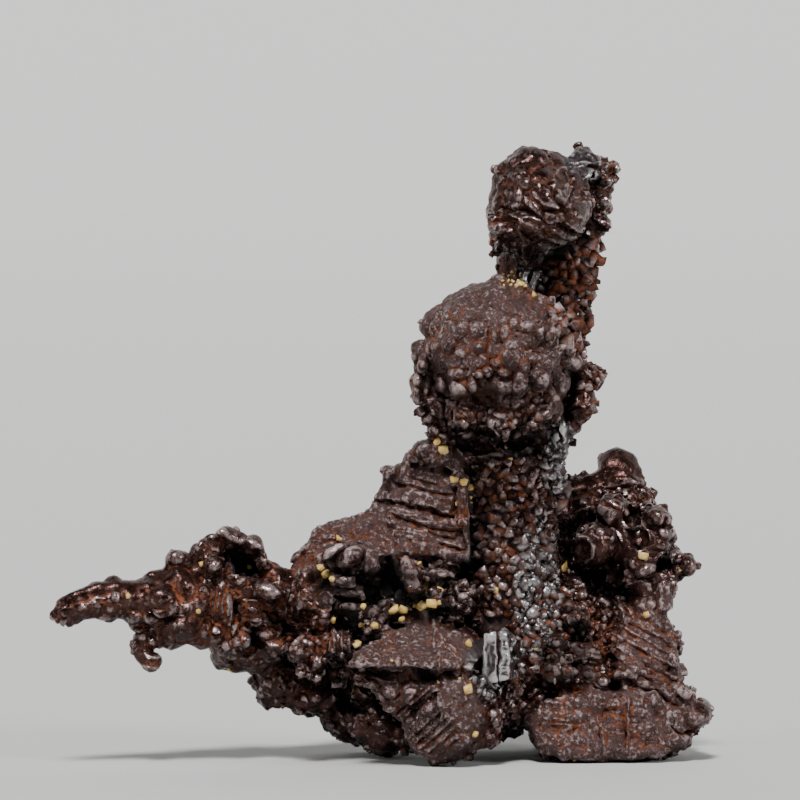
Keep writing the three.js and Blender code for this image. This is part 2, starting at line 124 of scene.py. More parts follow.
def noise(points, size, seed):
    """Smooth stray numbers from -1 to 1 at the points, with lumps of about that size."""
    side = 32
    table = np.random.default_rng(seed).uniform(-1, 1, (side, side, side))
    spot = points / size
    cell = np.floor(spot).astype(int)
    part = spot - cell
    part = part * part * (3 - 2 * part)
    total = np.zeros(len(points))
    for corner in np.ndindex(2, 2, 2):
        at = (cell + corner) % side
        weight = np.prod(np.where(corner, part, 1 - part), axis=1)
        total += weight * table[at[:, 0], at[:, 1], at[:, 2]]
    return total


def fractal(points, size, seed, octaves=3):
    """Noise with finer and weaker noise added."""
    total = sum(noise(points, size / 2**k, seed + k) / 2**k for k in range(octaves))
    return total / (2 - 2 ** (1 - octaves))


def rotations(angles):
    """Rotation matrices from rows of three angles about x, y and z."""
    turns = []
    for axis, angle in enumerate(np.transpose(angles)):
        second, third = (axis + 1) % 3, (axis + 2) % 3
        turn = np.zeros((len(angle), 3, 3))
        turn[:, axis, axis] = 1
        turn[:, second, second] = turn[:, third, third] = np.cos(angle)
        turn[:, third, second] = np.sin(angle)
        turn[:, second, third] = -np.sin(angle)
        turns.append(turn)
    return turns[2] @ turns[1] @ turns[0]


def cells(points, size, seed, sharp):
    """How far each point is from the nearest of many stray centres, in sizes.

    A sharp distance is the one whose spheres are octahedra, turned its own way about each
    centre, so that heights made from it have flat faces and straight edges.
    """
    side = 16
    r = np.random.default_rng(seed)
    centres = r.uniform(0.12, 0.88, (side, side, side, 3)).astype(np.float32)
    turns = rotations(r.uniform(0, math.pi, (side**3, 3))).reshape(side, side, side, 3, 3)
    turns = turns.astype(np.float32)
    spot = (points / size).astype(np.float32)
    cell = np.floor(spot - 0.5).astype(int)
    nearest = np.full(len(points), 9.0, np.float32)
    for corner in np.ndindex(2, 2, 2):
        at = cell + corner
        key = tuple((at % side).T)
        off = spot - at - centres[key]
        if sharp:
            off = np.abs(np.einsum("kij,kj->ki", turns[key], off))
            far = 0.62 * off.sum(axis=1)
        else:
            far = np.sqrt((off * off).sum(axis=1))
        nearest = np.minimum(nearest, far)
    return nearest


# ---------- where points lie ----------


def region(points, middle, radii, edge=0.25):
    """From 0 to 1, how far inside an egg of those radii the points are."""
    far = np.linalg.norm((points - np.array(middle)) / np.array(radii), axis=1)
    return np.clip((1 + edge - far) / edge, 0, 1)


def eggs_at(points, eggs, edge=0.25):
    """From 0 to 1, how far inside the nearest of the eggs, of (middle, radii), the points are."""
    return np.max([region(points, *egg, edge) for egg in eggs.values()], axis=0)


def inside(spots, outline):
    """Which of the spots lie inside the outline, in the picture plane."""
    result = np.zeros(len(spots), bool)
    x, y = spots.T
    for (ax, ay), (bx, by) in zip(outline, np.roll(outline, -1, axis=0)):
        if ay != by:
            crosses = (ay > y) != (by > y)
            result ^= crosses & (x < ax + (y - ay) * (bx - ax) / (by - ay))
    return result


# ---------- crystal shapes, one millimetre in radius ----------


def taken(shape):
    """The points and triangles of a shape in the making, which is then let go."""
    shape.verts.index_update()
    corners = np.array([v.co[:] for v in shape.verts])
    faces = np.array([[v.index for v in f.verts] for f in shape.faces])
    shape.free()
    return corners, faces


def hull(points):
    """The triangles around a cloud of points, by Blender's own convex hull."""
    shell = bmesh.new()
    for p in points:
        shell.verts.new(p)
    bmesh.ops.convex_hull(shell, input=shell.verts)
    loose = [v for v in shell.verts if not v.link_faces]
    bmesh.ops.delete(shell, geom=loose, context="VERTS")
    bmesh.ops.triangulate(shell, faces=shell.faces)
    return taken(shell)


def sphere():
    """A round shape of triangles of one size."""
    ball = bmesh.new()
    bmesh.ops.create_icosphere(ball, subdivisions=3, radius=1)
    return taken(ball)


CUBE = np.array(list(np.ndindex(2, 2, 2))) * 2.0 - 1  # a cube's corners


def rough_block(seed):
    """A cube with its corners cut and pushed about."""
    r = np.random.default_rng(seed)
    cut = np.concatenate([CUBE * np.roll([0.55, 0.95, 0.95], k) for k in range(3)])
    return hull(cut * r.uniform(0.85, 1.1, cut.shape))


def rough_point(seed):
    """An eight-sided crystal with its tips a little cut and pushed about."""
    r = np.random.default_rng(seed)
    tips = np.concatenate([np.eye(3), -np.eye(3)]) * 1.35
    cloud = np.concatenate([tips, CUBE * 0.42])
    return hull(cloud * r.uniform(0.8, 1.1, cloud.shape))


def tooth(seed):
    """A stub whose sides rise from a square foot to a short sharp brow."""
    r = np.random.default_rng(seed)
    corners = [(a, b) for a in (-0.9, 0.9) for b in (-0.9, 0.9)]
    foot = [(a, b, -1.2) for a, b in corners]
    shoulders = [(a, b, -0.35) for a, b in corners]
    brow = [(-0.35, r.uniform(-0.4, 0.5), 1.1), (0.3, r.uniform(-0.4, 0.5), 0.9)]
    cloud = np.array(foot + shoulders + brow, float)
    return hull(cloud * r.uniform(0.75, 1.15, cloud.shape))


def lump(seed, many, least, most, squareness=1.0):
    """A lump with that many corners, more like a block where its squareness is below 1."""
    r = np.random.default_rng(seed)
    cloud = r.normal(size=(many, 3))
    cloud /= np.linalg.norm(cloud, axis=1, keepdims=True)
    cloud = np.sign(cloud) * np.abs(cloud) ** squareness
    return hull(cloud * r.uniform(least, most, (many, 1)))


KINDS = 6  # different shapes of each kind of crystal
BLOCKS = [rough_block(100 + k) for k in range(KINDS)]
POINTS = [rough_point(200 + k) for k in range(KINDS)]
SHARDS = [lump(300 + k, 10, 1.0, 1.25) for k in range(KINDS)]
TEETH = [tooth(400 + k) for k in range(KINDS)]
WORN_GRAINS = [lump(500 + k, 20, 0.85, 1.1, 0.75) for k in range(KINDS)]
PEBBLES = [sphere()]
ROW_STRAY = 0.22  # how far a crystal strays from its place in its row, in steps
LEAN_OUT = np.array([0, -0.7, 0.1])  # added to a normal, so that crystals lean towards the eye


def standing_frames(normals, along):
    """Frames whose third axis is the normal and whose second lies near along."""
    third = normals / np.linalg.norm(normals, axis=1, keepdims=True)
    first = np.cross(along, third)
    first /= np.linalg.norm(first, axis=1, keepdims=True) + 1e-9
    second = np.cross(third, first)
    return np.stack([first, second, third], axis=2)


class Growth:
    """Closed shapes that are gathered here, set on a ground."""

    def __init__(self, ground):
        self.ground = ground
        self.points, self.faces, self.tips, self.tones, self.count = [], [], [], [], 0

    def add(self, points, faces, tips=0.0, tones=0.5):
        """Tips say how far points stand out of their shape, and tones how pale its finish is."""
        self.points.append(points)
        self.faces.append(faces + self.count)
        self.tips.append(np.broadcast_to(tips, len(points)))
        self.tones.append(np.broadcast_to(tones, len(points)))
        self.count += len(points)

    def crowd(self, shapes, places, frames, radii):
        """One shape at each place, turned by its frame and scaled by its radii."""
        for k, (corners, faces) in enumerate(shapes):
            mine = slice(k, None, len(shapes))
            scaled = corners[None] * radii[mine, None]
            turned = np.einsum("kij,kvj->kvi", frames[mine], scaled) + places[mine, None]
            steps = len(corners) * np.arange(len(turned))[:, None, None]
            tips = np.tile(corners[:, 2], len(turned))
            tones = np.repeat(random.random(len(turned)), len(corners))
            if len(turned):
                self.add(turned.reshape(-1, 3), (faces[None] + steps).reshape(-1, 3), tips, tones)

    def seen(self, across, up):
        """The place and the normal where the camera's ray through that spot meets the ground."""
        toward = Vector((across, 0, up)) - Vector(EYE)
        place, normal, _, _ = self.ground.ray_cast(Vector(EYE), toward.normalized())
        if place is None:
            place, normal, _, _ = self.ground.find_nearest(Vector((across, -1, up)))
        return np.array(place), np.array(normal)

    def lumps(self, shapes, rows, proud=0.3, jitter=0.25):
        """Shapes set on what the camera sees.

        Rows are (across, up, half width, half height, lean). Lean turns a shape in the picture,
        clockwise in degrees, proud is how far it stands out, and jitter turns it about.
        """
        places, radii, angles = [], [], []
        for row in rows:
            across, up, width, height, *lean = row
            place, _ = self.seen(across, up)
            depth = (width + height) / 2
            place[1] += depth - proud * min(1, 1.6 * depth)
            places.append(place)
            radii.append((width, depth, height))
            stray = random.uniform(-jitter, jitter, 3)
            stray[1] += math.radians(lean[0]) if lean else 0
            angles.append(stray)
        self.crowd(shapes, np.array(places), rotations(np.array(angles)), np.array(radii))

    def slab(self, outline, proud, depth, slope=0.0):
        """A flat-faced crystal with that outline in the picture, which slopes back as it rises."""
        outline = np.array(outline, float)
        middle = outline.mean(0)
        place, _ = self.seen(*middle)
        front = place[1] - proud + slope * (outline[:, 1] - middle[1])
        shrunk = middle + 0.9 * (outline - middle)
        near = np.stack([shrunk[:, 0], front, shrunk[:, 1]], axis=1)
        far = np.stack([outline[:, 0], front + 0.3 * depth, outline[:, 1]], axis=1)
        end = np.stack([shrunk[:, 0], front + depth, shrunk[:, 1]], axis=1)
        self.add(*hull(np.concatenate([near, far, end])))

    def patch(self, shapes, outline, step, radius, stand=0.5, lean=0.0, stray=0.35, size_stray=0.25):
        """Crystals in staggered rows over what the camera sees inside an outline.

        Step and radius are (across, up), stand is how much of a crystal stands out of the skin,
        lean turns the rows in the picture, clockwise in degrees, and stray turns each crystal.
        """
        outline = np.array(outline, float)
        middle = outline.mean(0)
        turn = math.radians(lean)
        rows = np.array([[math.cos(turn), -math.sin(turn)], [math.sin(turn), math.cos(turn)]])
        reach = np.linalg.norm(outline - middle, axis=1).max()
        counts = [int(reach / s) + 1 for s in step]
        k, j = np.mgrid[-counts[0] : counts[0] + 1, -counts[1] : counts[1] + 1].reshape(2, -1)
        grid = np.stack([(k + 0.5 * (j % 2)) * step[0], j * step[1]], axis=1)
        grid += random.uniform(-ROW_STRAY, ROW_STRAY, grid.shape) * np.array(step)
        spots = grid @ rows + middle
        spots = spots[inside(spots, outline)]
        hits = [self.seen(*spot) for spot in spots]
        places = np.array([place for place, _ in hits])
        outward = np.array([normal for _, normal in hits]) + LEAN_OUT
        outward /= np.linalg.norm(outward, axis=1, keepdims=True)
        upwards = np.tile([math.sin(turn), 0, math.cos(turn)], (len(spots), 1))
        frames = standing_frames(outward, upwards)
        frames = frames @ rotations(random.uniform(-stray, stray, (len(spots), 3)))
        sizes = np.array([radius[0], radius[1], max(radius)])
        sizes = sizes * random.uniform(1 - size_stray, 1 + size_stray, (len(spots), 3))
        sunk = places - outward * (sizes[:, 2] * (1 - 2 * stand))[:, None]
        self.crowd(shapes, sunk, frames, sizes)


def with_modifier(piece, kind, **settings):
    """The piece's mesh as a modifier leaves it, in place of its own."""
    modifier = piece.modifiers.new(kind.lower(), kind)
    for key, value in settings.items():
        setattr(modifier, key, value)
    graph = bpy.context.evaluated_depsgraph_get()
    result = bpy.data.meshes.new_from_object(piece.evaluated_get(graph))
    piece.modifiers.clear()
    old = piece.data
    piece.data = result
    bpy.data.meshes.remove(old)


DEPTH_CELL = 0.2  # side of a square in which only the nearest skin is seen
FAR_OFF = 99.0  # further than anything on the stone


class Skin:
    """A mesh whose points are moved, with their normals and neighbours."""

    def __init__(self, mesh):
        self.mesh = mesh
        self.points = np.empty(len(mesh.vertices) * 3)
        mesh.vertices.foreach_get("co", self.points)
        self.points = self.points.reshape(-1, 3)
        edges = np.empty(len(mesh.edges) * 2, np.int32)
        mesh.edges.foreach_get("vertices", edges)
        self.edges = edges.reshape(-1, 2)
        self.degree = np.bincount(self.edges.ravel(), minlength=len(self.points))
        self.renew()

    def renew(self):
        """Writes the points back and reads the normals."""
        self.mesh.vertices.foreach_set("co", self.points.astype(np.float32).ravel())
        self.mesh.update()
        normals = np.empty(len(self.points) * 3)
        self.mesh.vertex_normals.foreach_get("vector", normals)
        self.normals = normals.reshape(-1, 3)

    def averaged(self, values):
        """Each point's mean of its neighbours' values."""
        a, b = self.edges.T
        total = np.empty_like(values)
        for k in range(values.shape[1]):
            total[:, k] = np.bincount(a, values[b, k], len(values))
            total[:, k] += np.bincount(b, values[a, k], len(values))
        return total / np.maximum(self.degree, 1)[:, None]

    def smooth(self, amount, times):
        """Moves the points towards their neighbours' middle, by an amount for each point."""
        share = np.broadcast_to(amount, len(self.points))[:, None]
        for _ in range(times):
            self.points += share * (self.averaged(self.points) - self.points)

    def swell(self, heights):
        """Moves the points along their normals, by a height for each point."""
        self.points += heights[:, None] * self.normals
        self.renew()

    def picture(self):
        """Where the camera sees each point, across and up in the plane of the column's axis."""
        scale = EYE_DISTANCE / (EYE_DISTANCE + self.points[:, 1])
        middle = PICTURE_SIDE / 2
        return middle + (self.points[:, (0, 2)] - middle) * scale[:, None]

    def front(self):
        """From 0 to 1, how much the camera sees each point."""
        side = int(PICTURE_SIDE / DEPTH_CELL)
        spots = np.clip((self.picture() / DEPTH_CELL).astype(int), 0, side - 1)
        nearest = np.full((side, side), FAR_OFF)
        np.minimum.at(nearest, (spots[:, 0], spots[:, 1]), self.points[:, 1])
        behind = self.points[:, 1] - nearest[spots[:, 0], spots[:, 1]]
        facing = np.clip(-2.0 * self.normals[:, 1] + 0.4, 0, 1)
        return facing * np.clip(2.2 - behind / 0.4, 0, 1)


# ---------- the worn core ----------

# Eggs of (middle, radii) where the skin is smooth, and little grows on it.
SMOOTH_EGGS = {
    "middle ball": ((31.0, -4.2, 28.6), (4.7, 4.4, 4.2)),
    "top ball": ((33.6, -3.6, 37.8), (3.6, 3.6, 3.2)),
    "wing": ((25.0, -1.5, 18.0), (5.6, 3.0, 3.9)),
    "wing tip": ((20.0, -1.0, 16.4), (2.6, 2.4, 2.0)),
    "ledge": ((26.2, -5.5, 9.8), (4.4, 3.6, 1.6)),
    "keel": ((26.5, -4.0, 5.6), (3.4, 3.6, 2.8)),
    "flank": ((41.3, -1.0, 8.8), (2.6, 4.0, 3.8)),
    "foot": ((38.5, -3.0, 4.4), (5.6, 4.0, 2.6)),
    "bubbles": ((39.6, -1.0, 15.8), (3.4, 3.0, 2.8)),
    "rear top": ((38.6, 0.6, 20.9), (2.2, 3.0, 1.5)),
    "finger": ((5.6, 0.0, 12.3), (3.6, 3.0, 1.7)),
}
# Eggs where what grows is round rather than sharp.
ROUND_EGGS = {
    "middle ball": ((31.1, -4.6, 27.6), (5.4, 4.6, 5.4)),
    "arm": ((12.0, -1.0, 12.4), (9.4, 5.0, 4.6)),
    "foot": SMOOTH_EGGS["foot"],
    "rear top": ((38.0, 1.0, 20.0), (3.8, 4.0, 2.6)),
    "column foot": ((35.8, -1.6, 10.0), (2.6, 3.4, 4.0)),
}


def smoothness(points):
    """From 0 to 1, how smooth the skin is at the points."""
    return eggs_at(points, SMOOTH_EGGS)


COLUMN_FRONT = ((32.2, -0.8, 16.2), (2.7, 3.0, 6.0))  # the egg of the column's teeth
SUNK = 0.3  # how far the core shrinks where crystals grow over it
COLUMN_SUNK = 0.35  # how much further at the column's teeth
WEAR_ROUNDS = 8  # of smoothing, which round the core's edges off
UNEVEN = 0.2  # how far the core's faces stray
UNEVEN_SIZE = 2.0  # of the lumps that they stray in
REGROWN = 0.04  # what the core gains all over, for what the smoothing took


def weathered_core():
    """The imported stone's points and triangles, with its edges worn and its faces uneven."""
    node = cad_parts["prophecy_stone"]
    points, faces = mesh_arrays(node.data)
    piece = object_of(mesh_from("core", moved(points, TO_ROW.inverted()), faces))
    with_modifier(piece, "REMESH", mode="VOXEL", voxel_size=CORE_VOXEL)
    worn = Skin(piece.data)
    worn.smooth(0.5, WEAR_ROUNDS)
    worn.renew()
    uneven = UNEVEN * fractal(worn.points, UNEVEN_SIZE, 11)
    toothed = region(worn.points, *COLUMN_FRONT, 0.15)
    sunk = SUNK * (1 - smoothness(worn.points)) + COLUMN_SUNK * toothed
    worn.swell(REGROWN + uneven * (1 - 0.6 * toothed) - sunk)
    points, faces = mesh_arrays(piece.data)
    bpy.data.objects.remove(piece)
    return points, faces


core_points, core_faces = weathered_core()
core = BVHTree.FromPolygons(core_points.tolist(), core_faces.tolist())
growth = Growth(core)
growth.add(core_points, core_faces)


# ---------- the column ----------

COLUMN_AXIS = np.array(
    [[31.0, 1.4, 4.4], [31.8, 0.9, 12.5], [32.1, 1.0, 21.5], [34.0, 1.2, 30.6], [36.2, 1.6, 40.3]]
)
COLUMN_ENDS = (4.6, 39.5)  # the heights of its lowest and highest teeth
TOOTH_PITCH = 0.68  # from one row of teeth to the next
TOOTH_RADIUS = 0.4
TEETH_AROUND = 20  # in a whole row
TEETH_UPWARD = [0.08, 0, 1.0]  # the way that the teeth's second axis points
BLOCKY_SHARE = 0.6  # of the teeth are blocks, and the others are points
RAY_START = 6.0  # how far from the axis the search for the column's side starts
LEAST_REACH = 1.2  # a side found nearer to the start than this isn't the column's
FRONT_TURN = -0.25  # a direction whose back part is below this points to the camera


def column_teeth():
    """Rows of small crystals around the column's sides and back."""
    heights = COLUMN_AXIS[:, 2]
    places, normals, radii = [], [], []
    for row, up in enumerate(np.arange(*COLUMN_ENDS, TOOTH_PITCH)):
        across, back = (np.interp(up, heights, COLUMN_AXIS[:, k]) for k in (0, 1))
        for k in range(TEETH_AROUND):
            turn = 2 * math.pi * (k + 0.5 * (row % 2) + random.uniform(-0.2, 0.2)) / TEETH_AROUND
            out = Vector((math.cos(turn), math.sin(turn), 0))
            start = Vector((across, back, up + random.uniform(-0.12, 0.12))) + RAY_START * out
            place, _, _, reach = core.ray_cast(start, -out)
            if place is None or reach < LEAST_REACH or out.y < FRONT_TURN:
                continue
            places.append(place)
            normals.append(out)
            radii.append(TOOTH_RADIUS * random.uniform(0.75, 1.25))
    places, normals, radii = np.array(places), np.array(normals), np.array(radii)
    frames = standing_frames(normals, np.tile(TEETH_UPWARD, (len(places), 1)))
    frames = frames @ rotations(random.uniform(-0.45, 0.45, (len(places), 3)))
    sizes = radii[:, None] * random.uniform(0.8, 1.2, (len(places), 3))
    sunk = places - normals * radii[:, None] * 0.2
    blocky = random.random(len(places)) < BLOCKY_SHARE
    growth.crowd(BLOCKS, sunk[blocky], frames[blocky], 0.85 * sizes[blocky])
    growth.crowd(POINTS, sunk[~blocky], frames[~blocky], sizes[~blocky])


def upper_column():
    """The blocks between the two balls, and the two blades in front of them."""
    shaft = [
        (33.5, 33.4), (37.0, 35.2), (38.0, 34.6), (37.0, 31.0), (36.4, 27.6), (34.8, 28.0),
        (34.4, 30.4), (33.4, 31.6),
    ]
    growth.patch(SHARDS, shaft, (0.66, 0.58), (0.33, 0.28), stand=0.62, lean=12, stray=0.5)
    growth.slab([(32.45, 31.6), (32.95, 33.1), (33.3, 33.0), (32.8, 31.4)], 0.45, 1.4)
    growth.slab([(32.9, 31.4), (33.35, 32.9), (33.7, 32.7), (33.25, 31.3)], 0.45, 1.4)


# ---------- pieces that stand out of the core ----------


def balls():
    """What breaks the outline of the two balls, and the lumps that overhang their undersides."""
    growth.lumps(PEBBLES, [(33.1, 39.6, 1.3, 1.25), (31.1, 39.4, 0.5, 0.4)], proud=0.15, jitter=0.1)
    peak = [(35.6, 39.7), (35.7, 40.3), (36.2, 40.9), (36.7, 40.75), (37.6, 40.1), (37.6, 39.6)]
    growth.slab(peak, 0.35, 3.0, slope=0.8)
    growth.lumps(SHARDS, [(38.4, 39.4, 0.45, 0.5), (37.9, 37.3, 0.45, 0.45), (38.0, 36.1, 0.35, 0.45)])
    under = [(30.9, 36.3), (32.5, 36.2), (32.6, 33.8), (31.7, 33.7), (31.2, 34.6)]
    growth.patch(SHARDS, under, (0.85, 0.62), (0.42, 0.28), stand=0.42, lean=6, stray=0.25)
    hem = [
        (28.75, 25.75, 0.55, 0.5), (31.5, 26.0, 0.85, 0.5), (32.4, 26.1, 0.42, 0.8),
        (33.75, 26.3, 0.55, 0.65), (29.5, 26.0, 0.3, 0.4), (27.7, 26.1, 0.4, 0.45),
    ]
    growth.lumps(PEBBLES, hem, proud=0.35, jitter=0.1)
    rims = [
        (27.0, 28.1, 0.3, 0.5), (26.5, 27.2, 0.35, 0.6), (26.1, 26.1, 0.3, 0.7),
        (26.3, 25.1, 0.35, 0.4), (26.7, 23.8, 0.4, 0.4), (27.2, 23.1, 0.5, 0.4, 30),
        (35.1, 26.0, 0.38, 0.9, 5), (35.9, 27.3, 0.55, 0.45), (37.2, 26.6, 0.42, 0.6),
        (36.4, 25.9, 0.5, 0.5), (36.6, 24.6, 0.5, 0.5),
    ]
    growth.lumps(PEBBLES, rims, proud=0.4)


def wing():
    """The knobs at the wing's top and left end."""
    boss = [
        (26.6, 22.0, 0.7, 0.5), (26.0, 21.6, 0.5, 0.5), (27.4, 21.7, 0.55, 0.4),
        (26.9, 21.3, 0.6, 0.3),
    ]
    growth.lumps(SHARDS, boss, proud=0.3)
    edge = [
        (24.3, 20.4, 0.3, 0.35), (24.1, 20.0, 0.28, 0.3), (24.7, 20.7, 0.3, 0.25),
        (25.2, 20.9, 0.28, 0.35), (24.9, 20.3, 0.25, 0.22), (25.5, 20.5, 0.3, 0.25),
    ]
    growth.lumps(SHARDS, edge, proud=0.25, jitter=0.6)
    growth.lumps(PEBBLES, [(21.9, 15.0, 1.0, 0.5, -38)], proud=0.45, jitter=0.05)


# The ledge's front edge, and the step from tooth to tooth along it.
FRINGE = np.array([(21.6, 8.55), (23.4, 8.3), (24.6, 8.6), (25.4, 8.6), (27.2, 8.25), (28.6, 8.4)])
FRINGE_STEP = 0.34


def along_line(corners, step):
    """Places a step apart along a line of corners."""
    lengths = np.r_[0, np.cumsum(np.linalg.norm(np.diff(corners, axis=0), axis=1))]
    spots = np.arange(0, lengths[-1], step)
    return np.stack([np.interp(spots, lengths, corners[:, k]) for k in (0, 1)], axis=1)


def ledge():
    """Round teeth along the ledge's front edge, and the shelf behind it that holds sand."""
    shelf = [(24.2, 11.9), (25.2, 12.0), (27.4, 12.5), (27.9, 11.8), (27.6, 10.9), (24.4, 11.0)]
    growth.slab(shelf, 2.2, 3.4, slope=0.7)
    teeth = []
    for across, up in along_line(FRINGE, FRINGE_STEP):
        strays = random.uniform([-0.12, 0.1, 0.12], [0.12, 0.22, 0.26])
        teeth.append((across, up + strays[0], strays[1], strays[2]))
    growth.lumps(SHARDS, teeth, proud=0.25)


def prisms():
    """The pale prisms below the column, and the crumbs around them."""
    growth.lumps(
        BLOCKS,
        [(30.75, 9.0, 0.4, 1.45, 2), (31.55, 9.0, 0.36, 1.45, -2), (32.6, 9.4, 0.3, 0.5, 4)],
        proud=0.7,
        jitter=0.06,
    )
    crumbs = [(29.4, 8.0), (32.6, 8.0), (32.3, 6.2), (30.6, 5.2), (29.6, 6.2)]
    growth.patch(SHARDS, crumbs, (0.6, 0.5), (0.28, 0.22), stand=0.55, stray=0.7)


def rear():
    """The bubbles on the block behind the column, and the crumbs below it."""
    bubbles = [
        (41.2, 17.6, 0.9, 0.75, 30), (41.7, 15.5, 0.9, 0.7), (42.8, 14.7, 0.75, 0.75),
        (40.3, 14.4, 0.7, 0.4, -20),
    ]
    growth.lumps(PEBBLES, bubbles, proud=0.5, jitter=0.05)
    growth.lumps(PEBBLES, [(37.2, 15.9, 1.45, 1.4)], proud=0.9, jitter=0.05)
    crumbs = [
        (33.9, 15.0), (36.2, 14.2), (37.6, 13.4), (38.6, 11.8), (37.6, 8.0), (36.0, 7.0),
        (33.4, 9.0),
    ]
    growth.patch(SHARDS, crumbs, (0.62, 0.54), (0.3, 0.24), lean=15, stray=0.9, size_stray=0.4)


# ---------- small crystals everywhere else ----------

BARE_EDGE = 0.05  # how wide the edge of a bare egg is, in radii
# Eggs where nothing small grows, and eggs of the camera's side where it does.
BARE_EGGS = {
    "rear top": ((38.6, 2.0, 21.2), (2.7, 9.0, 2.0)),
    "crater ball": ((37.0, -2.0, 15.8), (1.7, 2.6, 1.6)),
    "flank's top": ((41.8, -1.0, 12.9), (1.3, 2.6, 1.4)),
    "top corner": ((36.6, -1.0, 40.4), (1.3, 2.6, 0.9)),
    "top ball": ((33.4, -3.0, 40.2), (2.4, 3.4, 1.2)),
    "finger": ((5.6, 0.0, 12.3), (4.2, 5.0, 2.6)),
    "knuckle": ((11.0, -1.0, 12.0), (3.0, 4.0, 3.8)),
    "middle ball": ((31.0, -4.4, 28.8), (4.5, 4.4, 3.2)),
}
DRUSE_EGGS = {
    "below the arm": ((17.5, -1.0, 5.6), (6.4, 8.0, 3.9)),
    "blade": ((29.4, -1.5, 17.0), (0.9, 4.0, 5.0)),
    "beside the cavity": ((28.6, -2.0, 12.6), (1.6, 4.0, 1.6)),
    "below the prisms": ((31.8, -2.0, 4.6), (1.8, 6.0, 2.4)),
    "under the ball": ((33.0, -2.0, 22.6), (2.6, 4.0, 1.2)),
    "neck": ((31.9, -1.0, 33.3), (1.3, 3.0, 0.9)),
}
DRUSE_DENSITY = 1.9  # crystals on a square millimetre
DRUSE_RADIUS = 0.5
DRUSE_DEPTH = 0.55  # how deep a crystal sits, in radii
DRUSE_LOST = 0.85  # of the crystals are missing where the core is smooth


def bareness(points):
    """From 0 to 1, how far inside a bare place the points are."""
    return eggs_at(points, BARE_EGGS, BARE_EDGE)


def druse():
    """Small crystals scattered over the whole core, few where its front is smooth."""
    a, b, c = (core_points[core_faces[:, k]] for k in range(3))
    normals = np.cross(b - a, c - a)
    areas = np.linalg.norm(normals, axis=1) / 2
    many = int(areas.sum() * DRUSE_DENSITY)
    face = random.choice(len(areas), many, p=areas / areas.sum())
    s, t = random.random((2, many))
    flip = s + t > 1
    s[flip], t[flip] = 1 - s[flip], 1 - t[flip]
    places = a[face] + s[:, None] * (b - a)[face] + t[:, None] * (c - a)[face]
    normals = normals[face] / (2 * areas[face])[:, None]
    bare = (normals[:, 1] < -0.1) & (eggs_at(places, DRUSE_EGGS, BARE_EDGE) < 0.5)
    bare |= bareness(places) > 0.5
    keep = ~bare & (random.random(many) < 1 - DRUSE_LOST * smoothness(places))
    places, normals = places[keep], normals[keep]
    radii = DRUSE_RADIUS * random.uniform(0.55, 1.3, len(places)) ** 1.3
    frames = standing_frames(normals, random.normal(size=places.shape))
    frames = frames @ rotations(random.uniform(-0.5, 0.5, places.shape))
    sizes = radii[:, None] * random.uniform(0.75, 1.25, places.shape)
    sunk = places - normals * radii[:, None] * DRUSE_DEPTH
    kind = random.integers(0, 3, len(places))
    kind[eggs_at(places, ROUND_EGGS) > 0.5] = 3
    for k, shapes in enumerate((BLOCKS, SHARDS, POINTS, PEBBLES)):
        growth.crowd(shapes, sunk[kind == k], frames[kind == k], sizes[kind == k])


for grow in (column_teeth, upper_column, balls, wing, ledge, prisms, rear, druse):
    grow()

# ---------- one skin over everything, carved ----------

stone = object_of(mesh_from("stone", np.concatenate(growth.points), np.concatenate(growth.faces)))
voxel = VOXEL
with_modifier(stone, "REMESH", mode="VOXEL", voxel_size=voxel)
skin = Skin(stone.data)

STRAY = 0.07  # how far the carved lines wander
BEVEL = 0.12  # how wide the slope around a flat face, a hollow or a cut is
CREASE = 1.2  # how far out a round swelling's crease lies, in radii
CREASE_END = 1.7  # and where the skin is level again
UNTOUCHED = -9.0  # below every height


